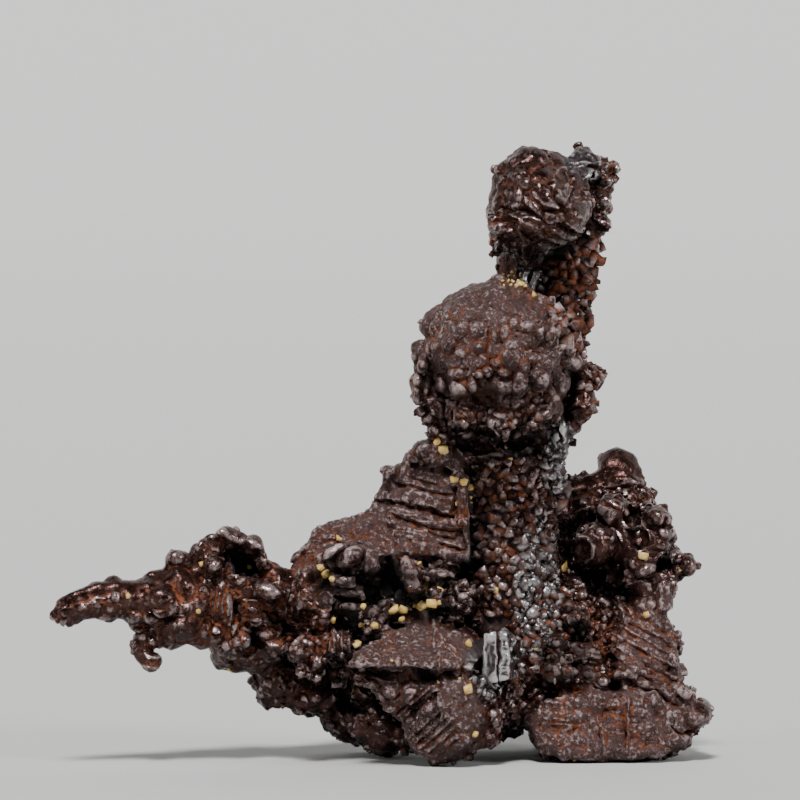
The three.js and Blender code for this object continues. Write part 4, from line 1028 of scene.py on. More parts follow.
# Flat faces are (height, slope to the right, slope upwards, outline).
FACETS = {
    "top ball": [
        (0.4, 0.1, -0.25, [(33.19, 38.12), (34.06, 38.31), (34.44, 38.19), (34.62, 37.62),
            (35.19, 36.88), (34.69, 36.94), (33.94, 37.06), (33.38, 37.56)]),
        (0.35, -0.2, -0.2, [(34.69, 38.19), (35.38, 38.12), (35.56, 37.56), (35.25, 37.19),
            (34.81, 37.62)]),
        (0.35, 0.2, -0.2, [(32.69, 37.75), (33.25, 37.56), (33.81, 37), (34.06, 36.19), (33.69, 36.44),
            (33.19, 36.88), (32.75, 37.25)]),
        (0.45, 0, -0.3, [(34.06, 36.81), (34.56, 36.81), (35.06, 36.31), (34.81, 36.06), (34.25, 35.88),
            (34, 36.12)]),
        (0.15, 0, 0.2, [(36.44, 38.12), (37.25, 38.12), (37.12, 37.75), (36.5, 37.75)]),
        (0.3, 0.1, 0, [(35.81, 37.44), (36.94, 37.5), (36.94, 36.38), (36.38, 36.12), (35.81, 36.5)]),
        (0.3, 0, 0.3, [(37.44, 37.69), (38.06, 37.81), (38.31, 37.5), (38.19, 37.06), (37.75, 36.81),
            (37.38, 37.06)]),
        (0.35, 0.1, -0.2, [(37.69, 36.31), (38, 36.62), (38.31, 36), (38.31, 35.62), (37.75, 35.69)]),
        (0.3, 0, -0.4, [(35.06, 36.31), (35.88, 36.12), (36.88, 35.69), (37, 35.5), (36.81, 35.06),
            (36.06, 35.5), (35.25, 35.94)]),
        (0.35, 0, -0.5, [(34.25, 35.81), (35, 35.75), (35.94, 35.31), (36.69, 34.88), (36.5, 34.69),
            (35.56, 35), (34.62, 35.38)]),
        (0.25, -0.1, 0.1, [(32.38, 36.38), (33.12, 36.19), (33.75, 35.69), (33.56, 35.38),
            (32.75, 35.06), (32.44, 35.19), (32.25, 35.75)]),
        (0.3, -0.3, 0, [(32.56, 34.81), (33, 34.88), (33.44, 34.5), (33.19, 33.62), (32.94, 33.31),
            (32.62, 33.88)]),
        (0.25, 0.35, 0, [(33.5, 34.94), (33.94, 34.81), (34.12, 33.88), (33.75, 33.38), (33.31, 33.5),
            (33.31, 34.25)]),
        (0.3, 0, -0.2, [(30.44, 36), (31.06, 35.94), (31.12, 35.56), (30.5, 35.5)]),
        (0.4, 0, -0.2, [(30.56, 35.12), (31.12, 35.25), (31.44, 35), (31.25, 34.62), (30.62, 34.62)]),
        (0.25, 0, -0.2, [(31.38, 35.31), (31.94, 35.31), (31.94, 35), (31.44, 35)]),
        (0.3, 0, -0.2, [(31.56, 35.75), (32.06, 35.75), (32.12, 35.44), (31.62, 35.44)]),
        (0.35, 0, -0.2, [(31.38, 34.62), (31.94, 34.56), (32.06, 34.12), (31.5, 34.06)]),
        (0.3, 0, 0, [(30.81, 34.5), (31.25, 34.44), (31.38, 34), (30.88, 33.94)]),
        (0.35, 0.2, 0, [(30.38, 34.31), (30.69, 34.31), (30.75, 33.81), (30.44, 33.69)]),
        (0.2, 0, -0.2, [(32.06, 34.94), (32.38, 35), (32.38, 34.5), (32.06, 34.5)]),
        (0.2, 0, 0, [(32.06, 34.31), (32.5, 34.25), (32.44, 33.75), (32.06, 33.81)]),
    ],
    "upper column": [
        (0.4, -0.3, 0, [(32.81, 33), (33.19, 33.12), (32.75, 31.5), (32.44, 31.56)]),
        (0.4, 0.2, 0, [(33.31, 33), (33.75, 32.81), (33.19, 31.44), (32.88, 31.5)]),
    ],
    "ball's right side": [
        (0.3, 0.2, 0, [(34.56, 24.12), (35, 24.31), (35, 22.5), (34.75, 22), (34.44, 22.5)]),
        (0.35, -0.2, 0, [(35.06, 24.31), (35.44, 24.06), (35.5, 23), (35.19, 21.88), (35.06, 22.5)]),
        (0.3, 0, -0.3, [(33.94, 22.12), (34.31, 22.38), (34.56, 21.88), (34.12, 21.5)]),
        (0.3, 0.2, 0, [(34.75, 21.75), (35.06, 22), (35.19, 21.56), (34.88, 21.25)]),
        (0.3, -0.2, 0, [(34.12, 23.12), (34.5, 23.25), (34.56, 22.5), (34.19, 22.5)]),
    ],
    "beside the cavity": [
        (0.25, 0, 0.3, [(21.12, 13.56), (22.5, 13.56), (23.62, 13.38), (23.5, 13.19), (22.38, 13.25),
            (21.25, 13.19)]),
        (0.3, 0, -0.2, [(21.19, 13.06), (21.88, 13.19), (22.69, 13.06), (22.81, 12.81), (21.88, 12.69),
            (21.31, 12.81)]),
        (0.3, 0, -0.2, [(21.12, 12.19), (21.62, 12.44), (22.31, 12.25), (22.25, 11.88),
            (21.56, 11.81)]),
        (0.2, 0, -0.2, [(21.31, 11.5), (22, 11.62), (22.25, 11.25), (21.62, 10.94)]),
        (0.25, 0, 0, [(22.31, 11.75), (22.62, 11.88), (22.75, 11.25), (22.38, 11.12)]),
        (0.3, 0.2, -0.2, [(22.94, 11.94), (23.38, 12.06), (23.69, 11.62), (23.38, 11.25),
            (22.94, 11.44)]),
        (0.2, 0, 0, [(23.19, 12.75), (23.69, 12.81), (23.69, 12.38), (23.19, 12.38)]),
        (0.5, 0.2, 0, [(24.88, 15.25), (25.5, 15.25), (26, 14.38), (26.12, 13.12), (25.75, 12.62),
            (25.38, 13.44), (25.19, 14.38)]),
        (0.2, 0, -0.2, [(26.5, 14.31), (27.12, 14.44), (27.5, 14.06), (27.25, 13.62), (26.62, 13.75)]),
        (0.5, 0, 0.2, [(27.25, 14.25), (28.06, 14.44), (28.69, 14.25), (28.25, 13.94), (27.38, 13.94)]),
        (0.5, 0, -0.3, [(19.81, 14.88), (20.12, 15.25), (20.88, 15.81), (21.62, 16.19), (21.75, 15.94),
            (21.12, 15.44), (20.38, 14.94), (20, 14.69)]),
        (0.25, -0.2, 0, [(22.88, 15.75), (23.5, 15.62), (23.69, 14.38), (23.25, 13.88),
            (22.62, 14.12)]),
    ],
    "prisms": [
        (0.5, 0.1, 0, [(30.38, 10.38), (31.06, 10.5), (31.19, 9), (31.12, 7.44), (30.25, 7.5),
            (30.25, 8.75)]),
        (0.45, -0.3, 0, [(31.19, 10.5), (31.75, 10.5), (31.94, 9.06), (31.88, 7.5), (31.25, 7.44)]),
        (0.4, -0.2, 0, [(32.38, 9.94), (32.88, 10), (32.94, 9.06), (32.5, 8.94)]),
        (0.3, 0.2, 0.2, [(31.06, 7.12), (31.44, 7.25), (31.31, 6.25), (31, 6.12)]),
        (0.3, 0.2, 0.2, [(31.56, 7.25), (31.94, 7.38), (31.81, 6.25), (31.5, 6.12)]),
        (0.3, -0.2, 0.2, [(32.06, 7.38), (32.38, 7.31), (32.25, 6.38), (31.94, 6.25)]),
    ],
    "arm": [
        (0.25, 0, 0, [(13.38, 13.88), (13.88, 14.19), (14.12, 13.56), (13.88, 13.06), (13.38, 13.12)]),
        (0.3, 0, -0.3, [(16.38, 10), (17, 10.19), (17.75, 9.44), (16.88, 9.5)]),
        (0.3, 0, -0.2, [(14.56, 10.19), (15.06, 10.25), (15.06, 9.62), (14.62, 9.56)]),
        (0.3, -0.2, 0, [(8.19, 10), (8.56, 10), (8.75, 9.44), (8.5, 9), (8.19, 9.06)]),
        (0.3, 0.1, -0.3, [(8.81, 9.31), (9.5, 9.5), (10.31, 9.12), (9.94, 8.69), (9.19, 8.62)]),
        (0.25, 0, 0.3, [(8.5, 8.88), (9.12, 8.5), (10, 8.5), (9.88, 8.06), (9.38, 7.81), (8.94, 8.31)]),
    ],
    "rear block": [
        (0.5, 0.2, -0.2, [(37.31, 18.31), (37.56, 18.5), (38.25, 18.25), (38.62, 17.94), (38.25, 17.25),
            (37.88, 17.5), (37.31, 17.88)]),
        (0.3, 0, -0.3, [(37.75, 18.75), (38.44, 18.81), (38.88, 18.5), (38.88, 18), (38.31, 18.31)]),
        (0.5, -0.3, -0.1, [(37.94, 17.38), (38.31, 17.19), (38.88, 16.75), (39.19, 16.19),
            (38.94, 15.88), (38.5, 16.38), (38.06, 16.88)]),
        (0.3, 0, 0.4, [(39.12, 13.75), (40, 13.94), (40.75, 13.62), (40.88, 13), (40.31, 12.62),
            (39.38, 12.69), (39, 13.12)]),
        (0.5, -0.2, 0.1, [(41, 13.56), (41.75, 13.88), (42.38, 13.44), (42.75, 12.62), (42.5, 12.12),
            (41.75, 11.88), (41.12, 11.69), (41, 12.5)]),
        (0.3, 0.2, 0, [(38.25, 11.81), (38.69, 11.88), (38.81, 11.25), (38.38, 11.12)]),
    ],
}
# Hollows are (depth, outline).
HOLLOWS = {
    "top ball": [
        (0.6, [(32.38, 37.19), (32.88, 37.19), (33.38, 36.75), (33.81, 36.38), (33.31, 36.44),
            (32.88, 36.62), (32.38, 36.75)]),
        (0.5, [(31.31, 37.19), (31.75, 37.12), (32.31, 36.88), (32.25, 36.62), (31.69, 36.81),
            (31.31, 36.94)]),
        (0.25, [(30.44, 36.31), (31.25, 36.44), (32.38, 36.44), (32.31, 36), (31.38, 36), (30.5, 36)]),
        (0.35, [(33.81, 35.69), (34.38, 35.5), (35.31, 35.12), (36.25, 34.69), (35.62, 34.62),
            (34.5, 35), (33.75, 35.25)]),
        (0.3, [(32.5, 35.06), (33.44, 35.25), (33.56, 34.94), (33, 34.88), (32.5, 34.88)]),
        (0.3, [(38, 39.62), (38.38, 39.69), (38.5, 39.25), (38.25, 39), (37.94, 39.19)]),
    ],
    "upper column": [
        (0.5, [(35.38, 29.69), (35.88, 29.69), (36.38, 29.5), (36.25, 29.12), (35.62, 29.25)]),
        (0.3, [(33.81, 32.5), (34.25, 32.44), (34.19, 32.06), (33.81, 32.12)]),
    ],
    "middle ball": [
        (0.2, [(32.6, 28.5), (33.3, 28.4), (33.5, 28.1), (32.8, 27.95)]),
        (0.2, [(33.7, 28.35), (34.7, 28.6), (34.75, 28.2), (34.0, 28.0)]),
        (0.6, [(27.5, 25.4), (28.25, 25.1), (28.9, 25.0), (28.6, 24.62), (27.75, 24.88)]),
        (0.4, [(29.3, 25.2), (29.88, 26.19), (30.62, 25.5), (31.25, 25.38), (31.12, 24.75), (30, 24.69),
            (29.4, 24.8)]),
        (0.4, [(27.75, 25.12), (28.25, 25), (28.44, 24.06), (28.25, 23.25), (27.88, 23.44),
            (27.56, 24.25)]),
    ],
    "under the ball": [
        (0.7, [(28.44, 23), (29.38, 22.5), (30.62, 22.31), (31.56, 22.5), (32.5, 22.75), (33.44, 22.69),
            (33.75, 22.19), (33, 22.12), (32.5, 21.75), (31.25, 21.88), (30, 21.44), (28.75, 21.75),
            (28.25, 22.5)]),
        (0.6, [(33.25, 22.19), (33.81, 22.38), (33.94, 21.56), (33.81, 20.62), (33.38, 20.62),
            (33.19, 21.38)]),
    ],
    "beside the cavity": [
        (1.7, [(23.75, 15.25), (24.5, 15.25), (24.75, 14.25), (25.25, 13.38), (25.69, 12.56),
            (25.25, 12.12), (24.5, 12.31), (24, 12.5), (23.69, 13.44)]),
        (0.6, [(26.12, 14.88), (26.88, 15), (27.75, 14.81), (27.94, 14.5), (27.5, 14.31), (26.88, 14.5),
            (26.38, 14.31)]),
        (0.8, [(27.56, 13.56), (28.5, 13.56), (28.69, 12.5), (28.12, 12), (27.62, 12.5)]),
        (0.8, [(20.62, 14.44), (21.12, 14.56), (22, 14.38), (22.31, 13.94), (21.56, 13.88),
            (20.88, 14.12)]),
        (0.5, [(19, 12.88), (19.5, 12.62), (19.88, 12.25), (20.31, 11.94), (19.88, 12),
            (19.25, 12.38)]),
        (0.5, [(20.38, 10.75), (20.88, 12.5), (21.06, 12.38), (20.75, 10.5), (20.5, 10)]),
        (0.5, [(23.94, 11.19), (24.5, 11.44), (25, 11.25), (24.38, 11), (23.75, 10.56)]),
        (1, [(20.12, 8.62), (20.75, 8.88), (21.5, 8.75), (21.56, 8.25), (22, 6.88), (21.25, 6.25),
            (20.5, 6.88), (20.12, 7.75)]),
    ],
    "ledge and keel": [
        (0.5, [(24.56, 8.69), (25.19, 8.69), (25.12, 8.25), (24.56, 8.25)]),
        (0.4, [(22.9, 8.0), (24.4, 8.1), (25.31, 8.19), (26.88, 8.06), (27.19, 7.6), (26.5, 7.2),
            (25.7, 7.3), (25.1, 6.9), (24.7, 7.4), (23.8, 7.5)]),
        (0.6, [(28.25, 11.31), (29.12, 11.19), (29.06, 10.75), (28.5, 10.69)]),
        (0.6, [(21.56, 8.12), (22.19, 8.06), (21.88, 6.25), (21.56, 5.31), (21.12, 5.94)]),
    ],
    "arm": [
        (0.3, [(13.9, 15.7), (14.3, 15.5), (14.25, 14.3), (13.9, 14.2), (14.1, 15.0)]),
        (1.3, [(14.38, 15.5), (15.19, 15.62), (16, 14.88), (16.25, 14.25), (15.38, 13.75),
            (14.56, 14.06)]),
        (1, [(14.44, 12.75), (15.19, 12.62), (15.12, 11.75), (15, 10.88), (14.44, 10.88)]),
        (0.6, [(15, 12.5), (16.38, 12.31), (17.5, 11.75), (17.19, 11.12), (15.94, 11.25),
            (15.06, 11.44)]),
        (0.4, [(15.31, 11.12), (17.5, 11.25), (18.75, 10.94), (18.12, 10.44), (16.38, 10.38),
            (15.38, 10.75)]),
        (0.4, [(14.12, 13.75), (14.62, 13.94), (14.81, 13.31), (14.31, 13.25)]),
    ],
    "rear block": [
        (1.1, [(38.94, 18), (39.25, 18.5), (40, 18.44), (40.12, 17.81), (40, 17.19), (39.38, 17),
            (38.94, 17.5)]),
        (0.9, [(39, 17), (40, 17.12), (40.5, 16.75), (40.62, 15.94), (40, 15.62), (39.38, 15.75),
            (39.19, 16.38)]),
        (1, [(36.62, 14.56), (37.5, 14.44), (37.94, 14.12), (37.94, 13.12), (37.5, 12.62),
            (36.75, 12.75), (36.38, 13.44)]),
        (1, [(35.94, 18.12), (37.12, 18.38), (37.25, 17.5), (36.75, 17), (36, 16.25), (35.5, 16.25),
            (35.38, 17.19)]),
        (0.5, [(40.94, 14.81), (41.88, 14.81), (42.62, 15), (42.5, 14.62), (41.75, 14.31),
            (41, 14.38)]),
        (0.5, [(34.75, 15.75), (35.75, 15.94), (35.88, 15), (36.25, 14.5), (35.62, 14.25),
            (35.38, 15)]),
    ],
    "column's foot": [
        (0.8, [(35.19, 10.5), (35.94, 10.56), (36.12, 10), (35.38, 9.81)]),
        (0.5, [(37.62, 9.88), (38.25, 10), (38.38, 8.62), (37.75, 8.62)]),
        (0.6, [(36.75, 11.75), (37.31, 11.75), (37.25, 10.75), (36.88, 10.88)]),
        (0.5, [(33.12, 9.38), (33.75, 9.38), (33.88, 8.88), (33.25, 8.81)]),
        (0.4, [(34.69, 7.12), (35.94, 7.5), (36.56, 7.25), (35.62, 7)]),
        (0.3, [(39.06, 7.5), (39.75, 7.62), (39.88, 6.88), (39.25, 6.75)]),
    ],
}
# Cuts are (depth, length of the ramp, corners from left to right).
CUTS = [
    (0.5, 0.4, [(25.9, 21.1), (27.0, 20.8), (28.1, 20.6)]),
    (0.3, 0.25, [(25.6, 20.3), (26.6, 19.95), (27.1, 19.8)]),
    (0.3, 0.35, [(24.9, 19.8), (25.9, 19.6), (27.0, 19.3), (28.0, 19.1), (28.3, 19.2)]),
    (0.6, 0.5, [(23.8, 18.8), (25.0, 18.7), (25.9, 18.4), (26.9, 18.3), (27.7, 17.9), (28.3, 17.8)]),
    (0.5, 0.45, [(24.8, 17.8), (25.6, 17.5), (26.6, 17.2), (27.5, 17.0), (28.5, 16.9)]),
    (0.3, 0.3, [(26.9, 16.8), (27.5, 16.5), (28.3, 16.4)]),
    (0.35, 0.35, [(27.8, 16.0), (28.4, 15.8), (29.0, 15.7)]),
    (0.7, 0.5, [(26.3, 15.0), (27.5, 14.8), (28.4, 14.6), (29.1, 14.4)]),
    (0.15, 0.2, [(18.7, 15.5), (19.5, 15.4), (20.3, 15.6)]),
    (0.2, 0.2, [(19.4, 16.4), (20.3, 16.2), (21.0, 16.3)]),
    (0.5, 0.6, [(22.0, 8.3), (23.4, 8.1), (24.6, 8.4), (25.4, 8.4), (26.9, 8.0), (28.4, 8.0)]),
    (0.3, 0.3, [(22.4, 7.1), (23.4, 6.8), (24.2, 6.4)]),
    (0.15, 0.4, [(4.6, 12.3), (5.3, 12.5)]),
    (0.15, 0.4, [(6.4, 12.5), (7.4, 12.2)]),
    (0.35, 0.4, [(9.4, 11.7), (10.2, 11.4), (11.2, 11.5)]),
]
# Ridges and grooves are (height or depth, width, corners).
RIDGES = [
    (0.22, 0.13, [(32.6, 39.8), (31.8, 39.4), (31.5, 38.8), (31.2, 37.9), (31.1, 37.2)]),
    (0.2, 0.12, [(34.6, 38.4), (34.6, 39.0), (34.9, 39.4), (35.4, 39.5), (35.6, 38.8), (35.3, 38.1)]),
    (0.18, 0.08, [(31.3, 36.8), (32.4, 36.4), (33.1, 36.4), (33.8, 36.2)]),
    (0.12, 0.1, [(36.0, 37.7), (36.5, 37.7), (37.0, 37.5)]),
    (0.25, 0.09, [(37.1, 37.5), (37.1, 36.3)]),
    (0.08, 0.05, [(35.6, 39.85), (37.6, 39.9)]),
    (0.08, 0.05, [(35.7, 39.6), (37.5, 39.7)]),
    (0.3, 0.2, [(32.6, 23.2), (33.1, 23.6), (33.8, 24.1), (34.2, 24.4)]),
    (0.25, 0.13, [(18.1, 14.7), (18.8, 15.5), (19.3, 15.9), (20.0, 17.0)]),
    (0.15, 0.14, [(21.6, 17.5), (22.8, 18.2), (23.6, 19.1)]),
    (0.25, 0.12, [(24.9, 19.9), (25.4, 20.9), (25.7, 21.6), (25.6, 22.1)]),
    (0.06, 0.1, [(24.7, 17.5), (24.4, 15.9)]),
    (0.06, 0.1, [(25.6, 16.9), (25.3, 15.3)]),
    (0.06, 0.1, [(26.4, 16.5), (26.3, 15.2)]),
    (0.06, 0.1, [(22.5, 16.9), (24.6, 16.2)]),
    (0.25, 0.08, [(20.9, 10.2), (20.9, 9.1)]),
    (0.25, 0.08, [(21.3, 10.4), (21.4, 9.1)]),
    (0.25, 0.08, [(21.7, 10.4), (21.8, 9.1)]),
    (0.25, 0.08, [(20.6, 10.0), (20.6, 9.4)]),
    (0.35, 0.1, [(27.4, 6.9), (27.6, 6.2), (27.7, 5.5), (27.6, 4.9)]),
    (0.35, 0.1, [(27.4, 9.0), (27.4, 8.0)]),
    (0.25, 0.1, [(27.1, 11.2), (27.2, 10.6), (27.1, 9.7)]),
    (0.14, 0.06, [(27.5, 10.0), (28.2, 9.3), (28.9, 8.6)]),
    (0.14, 0.06, [(27.7, 10.1), (28.5, 9.3)]),
    (0.2, 0.09, [(27.5, 11.4), (28.4, 11.3), (29.1, 11.1), (29.9, 11.3)]),
    (0.25, 0.18, [(12.3, 15.5), (12.7, 16.1), (13.3, 16.4), (14.1, 16.7)]),
    (0.25, 0.18, [(14.1, 16.7), (14.7, 16.3), (15.5, 16.1), (16.1, 15.8), (16.5, 15.0)]),
    (0.22, 0.09, [(13.4, 13.0), (13.2, 11.9), (13.4, 11.1)]),
    (0.22, 0.09, [(13.7, 13.0), (13.6, 11.8)]),
    (0.22, 0.09, [(14.0, 12.9), (13.9, 11.5)]),
    (0.22, 0.09, [(14.3, 12.9), (14.2, 11.5)]),
    (0.15, 0.09, [(17.9, 13.4), (17.9, 11.3)]),
    (0.15, 0.09, [(18.3, 13.5), (18.3, 11.2)]),
    (0.15, 0.09, [(18.7, 13.4), (18.7, 11.4)]),
    (0.3, 0.12, [(36.3, 16.4), (36.8, 16.3), (37.1, 15.8), (37.05, 15.3), (36.7, 14.9)]),
    (0.25, 0.12, [(38.6, 12.6), (38.9, 11.9), (39.1, 11.0)]),
    (0.2, 0.12, [(39.2, 12.1), (39.6, 11.2)]),
    (0.25, 0.06, [(39.25, 6.3), (39.25, 4.5), (39.2, 3.0)]),
    (0.15, 0.06, [(37.5, 5.5), (37.6, 4.4), (37.8, 3.1)]),
]
GROOVES = [
    (0.45, 0.12, [(34.4, 38.2), (34.7, 37.6), (35.2, 36.9)]),
    (0.35, 0.08, [(33.8, 36.9), (34.6, 36.8), (35.3, 36.7)]),
    (0.35, 0.1, [(35.5, 39.5), (35.7, 38.8), (35.8, 38.1), (35.6, 37.4)]),
    (0.45, 0.1, [(34.7, 36.1), (35.5, 35.6), (36.8, 35.0)]),
    (0.45, 0.12, [(34.0, 34.8), (34.3, 34.6), (34.8, 34.6)]),
    (0.35, 0.12, [(28.4, 19.5), (28.4, 18.8), (28.3, 18.0), (28.6, 17.2), (29.1, 15.8)]),
    (0.6, 0.2, [(29.4, 20.4), (29.6, 18.2), (29.7, 16.3), (29.8, 14.0), (29.9, 11.6)]),
    (0.5, 0.14, [(26.9, 26.8), (27.0, 26.0), (26.9, 25.3)]),
    (0.35, 0.1, [(27.0, 30.0), (26.8, 28.8), (26.9, 27.8)]),
    (0.35, 0.12, [(35.2, 26.8), (35.8, 26.5), (36.4, 26.7)]),
    (0.45, 0.1, [(21.0, 12.7), (21.9, 12.5), (23.2, 12.4)]),
    (0.35, 0.1, [(9.4, 11.7), (10.0, 11.4), (10.6, 11.4), (11.1, 11.7)]),
    (0.35, 0.12, [(37.7, 19.4), (38.4, 19.4), (39.4, 19.7), (40.3, 19.5)]),
    (0.4, 0.12, [(41.5, 17.6), (41.5, 17.0)]),
    (0.7, 0.3, [(36.4, 15.8), (36.45, 15.4)]),
    (0.4, 0.1, [(39.0, 7.5), (40.0, 7.1), (41.0, 6.9), (41.8, 6.2)]),
    (0.3, 0.1, [(41.9, 4.6), (42.6, 4.1), (43.4, 4.3)]),
    (0.25, 0.1, [(35.6, 8.4), (36.6, 8.7), (37.4, 8.8)]),
]
# Fans are (depth, width, start, step from line to line, run of a line, how many, fade).
CUT_FANS = [  # the thin layers of the keel, the flank and the ledge
    (0.26, 0.3, (24.6, 5.3), (0.3, -0.16), (2.0, 1.8), 3),
    (0.26, 0.36, (25.7, 3.9), (0.42, -0.28), (1.9, 1.7), 5, 0.05),
    (0.16, 0.5, (38.6, 12.3), (-0.02, -0.7), (3.6, -2.0), 7),
    (0.05, 0.16, (21.9, 9.1), (0.5, 0.22), (3.9, -0.25), 8, 0.04),
]
GROOVE_FANS = [  # scratches on the blade, the prisms, the flank, the wing, the ledge and the foot
    (0.09, 0.06, (28.6, 19.6), (0.16, 0.02), (0.25, -3.4), 5),
    (0.04, 0.05, (30.55, 10.2), (0.15, 0.0), (0.02, -2.2), 5),
    (0.05, 0.05, (31.25, 10.2), (0.0, -0.21), (0.55, -0.06), 13),
    (0.05, 0.07, (38.9, 12.3), (0.02, -0.34), (3.0, -1.7), 13),
    (0.06, 0.06, (24.3, 18.4), (-0.02, -0.27), (3.6, -0.55), 8),
    (0.05, 0.06, (19.6, 16.6), (0.1, -0.22), (2.0, 0.5), 5),
    (0.05, 0.06, (22.0, 16.4), (0.3, 0.16), (1.2, -1.2), 6),
    (0.05, 0.05, (22.6, 10.6), (0.3, -0.22), (3.2, -0.15), 6),
    (0.06, 0.07, (33.2, 6.4), (0.08, -0.34), (2.6, -0.2), 8, 0.06),
    (0.06, 0.06, (37.2, 6.6), (0.1, -0.36), (3.0, -0.5), 8),
]
FOOT_SCRATCHES = 60


def fan(depth, width, start, step, run, many, fade=0.0):
    """Lines side by side. Each starts a step on from the last and is shorter by the fade."""
    start, step, run = (np.array(v, float) for v in (start, step, run))
    for k in range(many):
        first = start + k * step + random.uniform(-0.04, 0.04, 2)
        last = first + run * (1 - fade * k) * random.uniform(0.85, 1.1)
        bend = random.uniform(-0.05, 0.05, 2)
        yield depth, width, [first, (first + last) / 2 + bend, last]


def foot_scratches():
    """Short upright scratches all over the foot."""
    for _ in range(FOOT_SCRATCHES):
        across = random.uniform(33.2, 43.2)
        top = random.uniform(3.8, 6.8)
        foot = top - random.uniform(0.3, 0.9)
        yield 0.07, 0.06, [(across, top), (across + random.uniform(-0.15, 0.15), foot)]


def carve():
    """The whole relief of the camera's side, gathered but not yet applied."""
    carving = Carving(skin)
    for place, rows in DOMES.items():
        strength, spread = DOME_STRENGTH.get(place, 1), DOME_SPREAD.get(place, 1)
        for height, across, up, width, tall, *lean in rows:
            carving.dome(height * strength, across, up, width * spread, tall * spread, *lean)
    for place, rows in FACETS.items():
        strength = FACET_STRENGTH.get(place, 1)
        for height, rightwards, upwards, outline in rows:
            carving.facet(height * strength, rightwards * strength, upwards * strength, outline)
    for rows in HOLLOWS.values():
        for depth, outline in rows:
            carving.hollow(depth, outline)
    cuts = [line for row in CUT_FANS for line in fan(*row)]
    for depth, ramp, line in CUTS + cuts:
        carving.cut(depth, ramp, line)
    for height, width, line in RIDGES:
        carving.raise_line(height, width, line)
    scratches = [line for row in GROOVE_FANS for line in fan(*row)]
    for depth, width, line in (*GROOVES, *scratches, *foot_scratches()):
        carving.raise_line(-depth, width, line)
    return carving


# Eggs where the skin between the crystals is nearly plain, and where it is in thin layers.
PLAIN_EGGS = {
    "rear top": ((38.6, 0.6, 21.2), (2.8, 3.6, 1.8)),
    "finger": ((5.4, 0.0, 12.3), (3.2, 4.0, 2.4)),
    "column": ((32.1, -1.5, 16.4), (2.8, 2.6, 5.8)),
    "upper column": ((35.6, -0.6, 31.4), (2.0, 2.4, 3.6)),
    "prisms": ((31.4, -4.0, 8.6), (2.0, 2.6, 2.2)),
    "bubbles": SMOOTH_EGGS["bubbles"],
}
LAYERED_EGGS = {k: SMOOTH_EGGS[k] for k in ("wing", "wing tip", "ledge", "keel", "flank")}


def roughen(calm):
    """Uneven skin: round nodules, flat-faced crystals, or nearly plain, by region."""
    skin.smooth(0.6 * calm, 6)
    points = skin.points
    plain = eggs_at(points, PLAIN_EGGS)
    layered = eggs_at(points, LAYERED_EGGS) * (1 - plain)
    rounded = eggs_at(points, ROUND_EGGS) * (1 - plain) * (1 - layered)
    sharp = 1 - np.max([plain, layered, rounded], axis=0)
    wild = 1 - 0.8 * calm
    heights = 0.02 * noise(points, 0.3, 23) + 0.015 * (1 - 2 * np.abs(noise(points, 0.5, 24)))
    chosen = sharp > 0.01
    crystal = np.minimum(0.42 - cells(points[chosen], 1.0, 31, True), 0.2)
    crystal += 0.4 * np.minimum(0.42 - cells(points[chosen], 0.5, 32, True), 0.2)
    heights[chosen] += 0.35 * (sharp * wild)[chosen] * crystal
    chosen = rounded > 0.01
    nodule = 0.4 - cells(points[chosen], 1.4, 33, False) ** 2
    nodule += 0.35 * (0.4 - cells(points[chosen], 0.65, 34, False) ** 2)
    heights[chosen] += 0.42 * (rounded * wild)[chosen] * nodule
    heights += 0.05 * layered * fractal(points * np.array([1, 1, 1.6]), 0.8, 35)
    heights += layered * (0.12 * noise(points, 0.5, 38) + 0.12 * noise(points, 0.27, 37))
    heights += 0.09 * region(points, *SMOOTH_EGGS["foot"]) * fractal(points, 0.7, 36)
    skin.swell(heights)


def surface(skin):
    """The skin, for rays to meet."""
    _, faces = mesh_arrays(skin.mesh)
    return BVHTree.FromPolygons(skin.points.tolist(), faces.tolist())


relief = carve()
roughen(relief.calm())
relief.apply()

# ---------- crystals and sand too sharp or loose to be part of the skin ----------

crystals = Growth(surface(skin))
sand = Growth(crystals.ground)

COLUMN_SHAFT = [
    (30.1, 21.4), (34.6, 21.9), (35.0, 20.2), (34.2, 16.5), (33.0, 14.5), (32.4, 11.4), (29.8, 11.2),
    (29.8, 17.0),
]
COLUMN_EDGE = [
    (33.2, 21.6), (35.2, 22.0), (35.4, 19.0), (34.6, 16.4), (34.9, 13.6), (34.4, 10.4), (33.0, 8.6),
    (32.0, 10.6), (32.4, 14.0), (33.4, 17.0),
]
COLUMN_LEFT = [(29.2, 21.5), (30.2, 21.0), (30.0, 11.6), (28.0, 11.6), (28.4, 13.6), (29.4, 14.4)]
UPPER_SHAFT = [(33.9, 33.4), (37.0, 35.2), (38.0, 34.6), (37.2, 31.0), (36.6, 27.6), (34.8, 28.0)]
BALL_UNDERSIDE = [(27.4, 25.2), (30.2, 25.0), (34.6, 25.4), (34.8, 23.2), (31.6, 22.6), (28.2, 22.8)]
KEEL_LEFT = [(25.6, 6.3), (27.3, 6.6), (27.5, 4.6), (26.5, 3.5), (25.0, 4.7)]
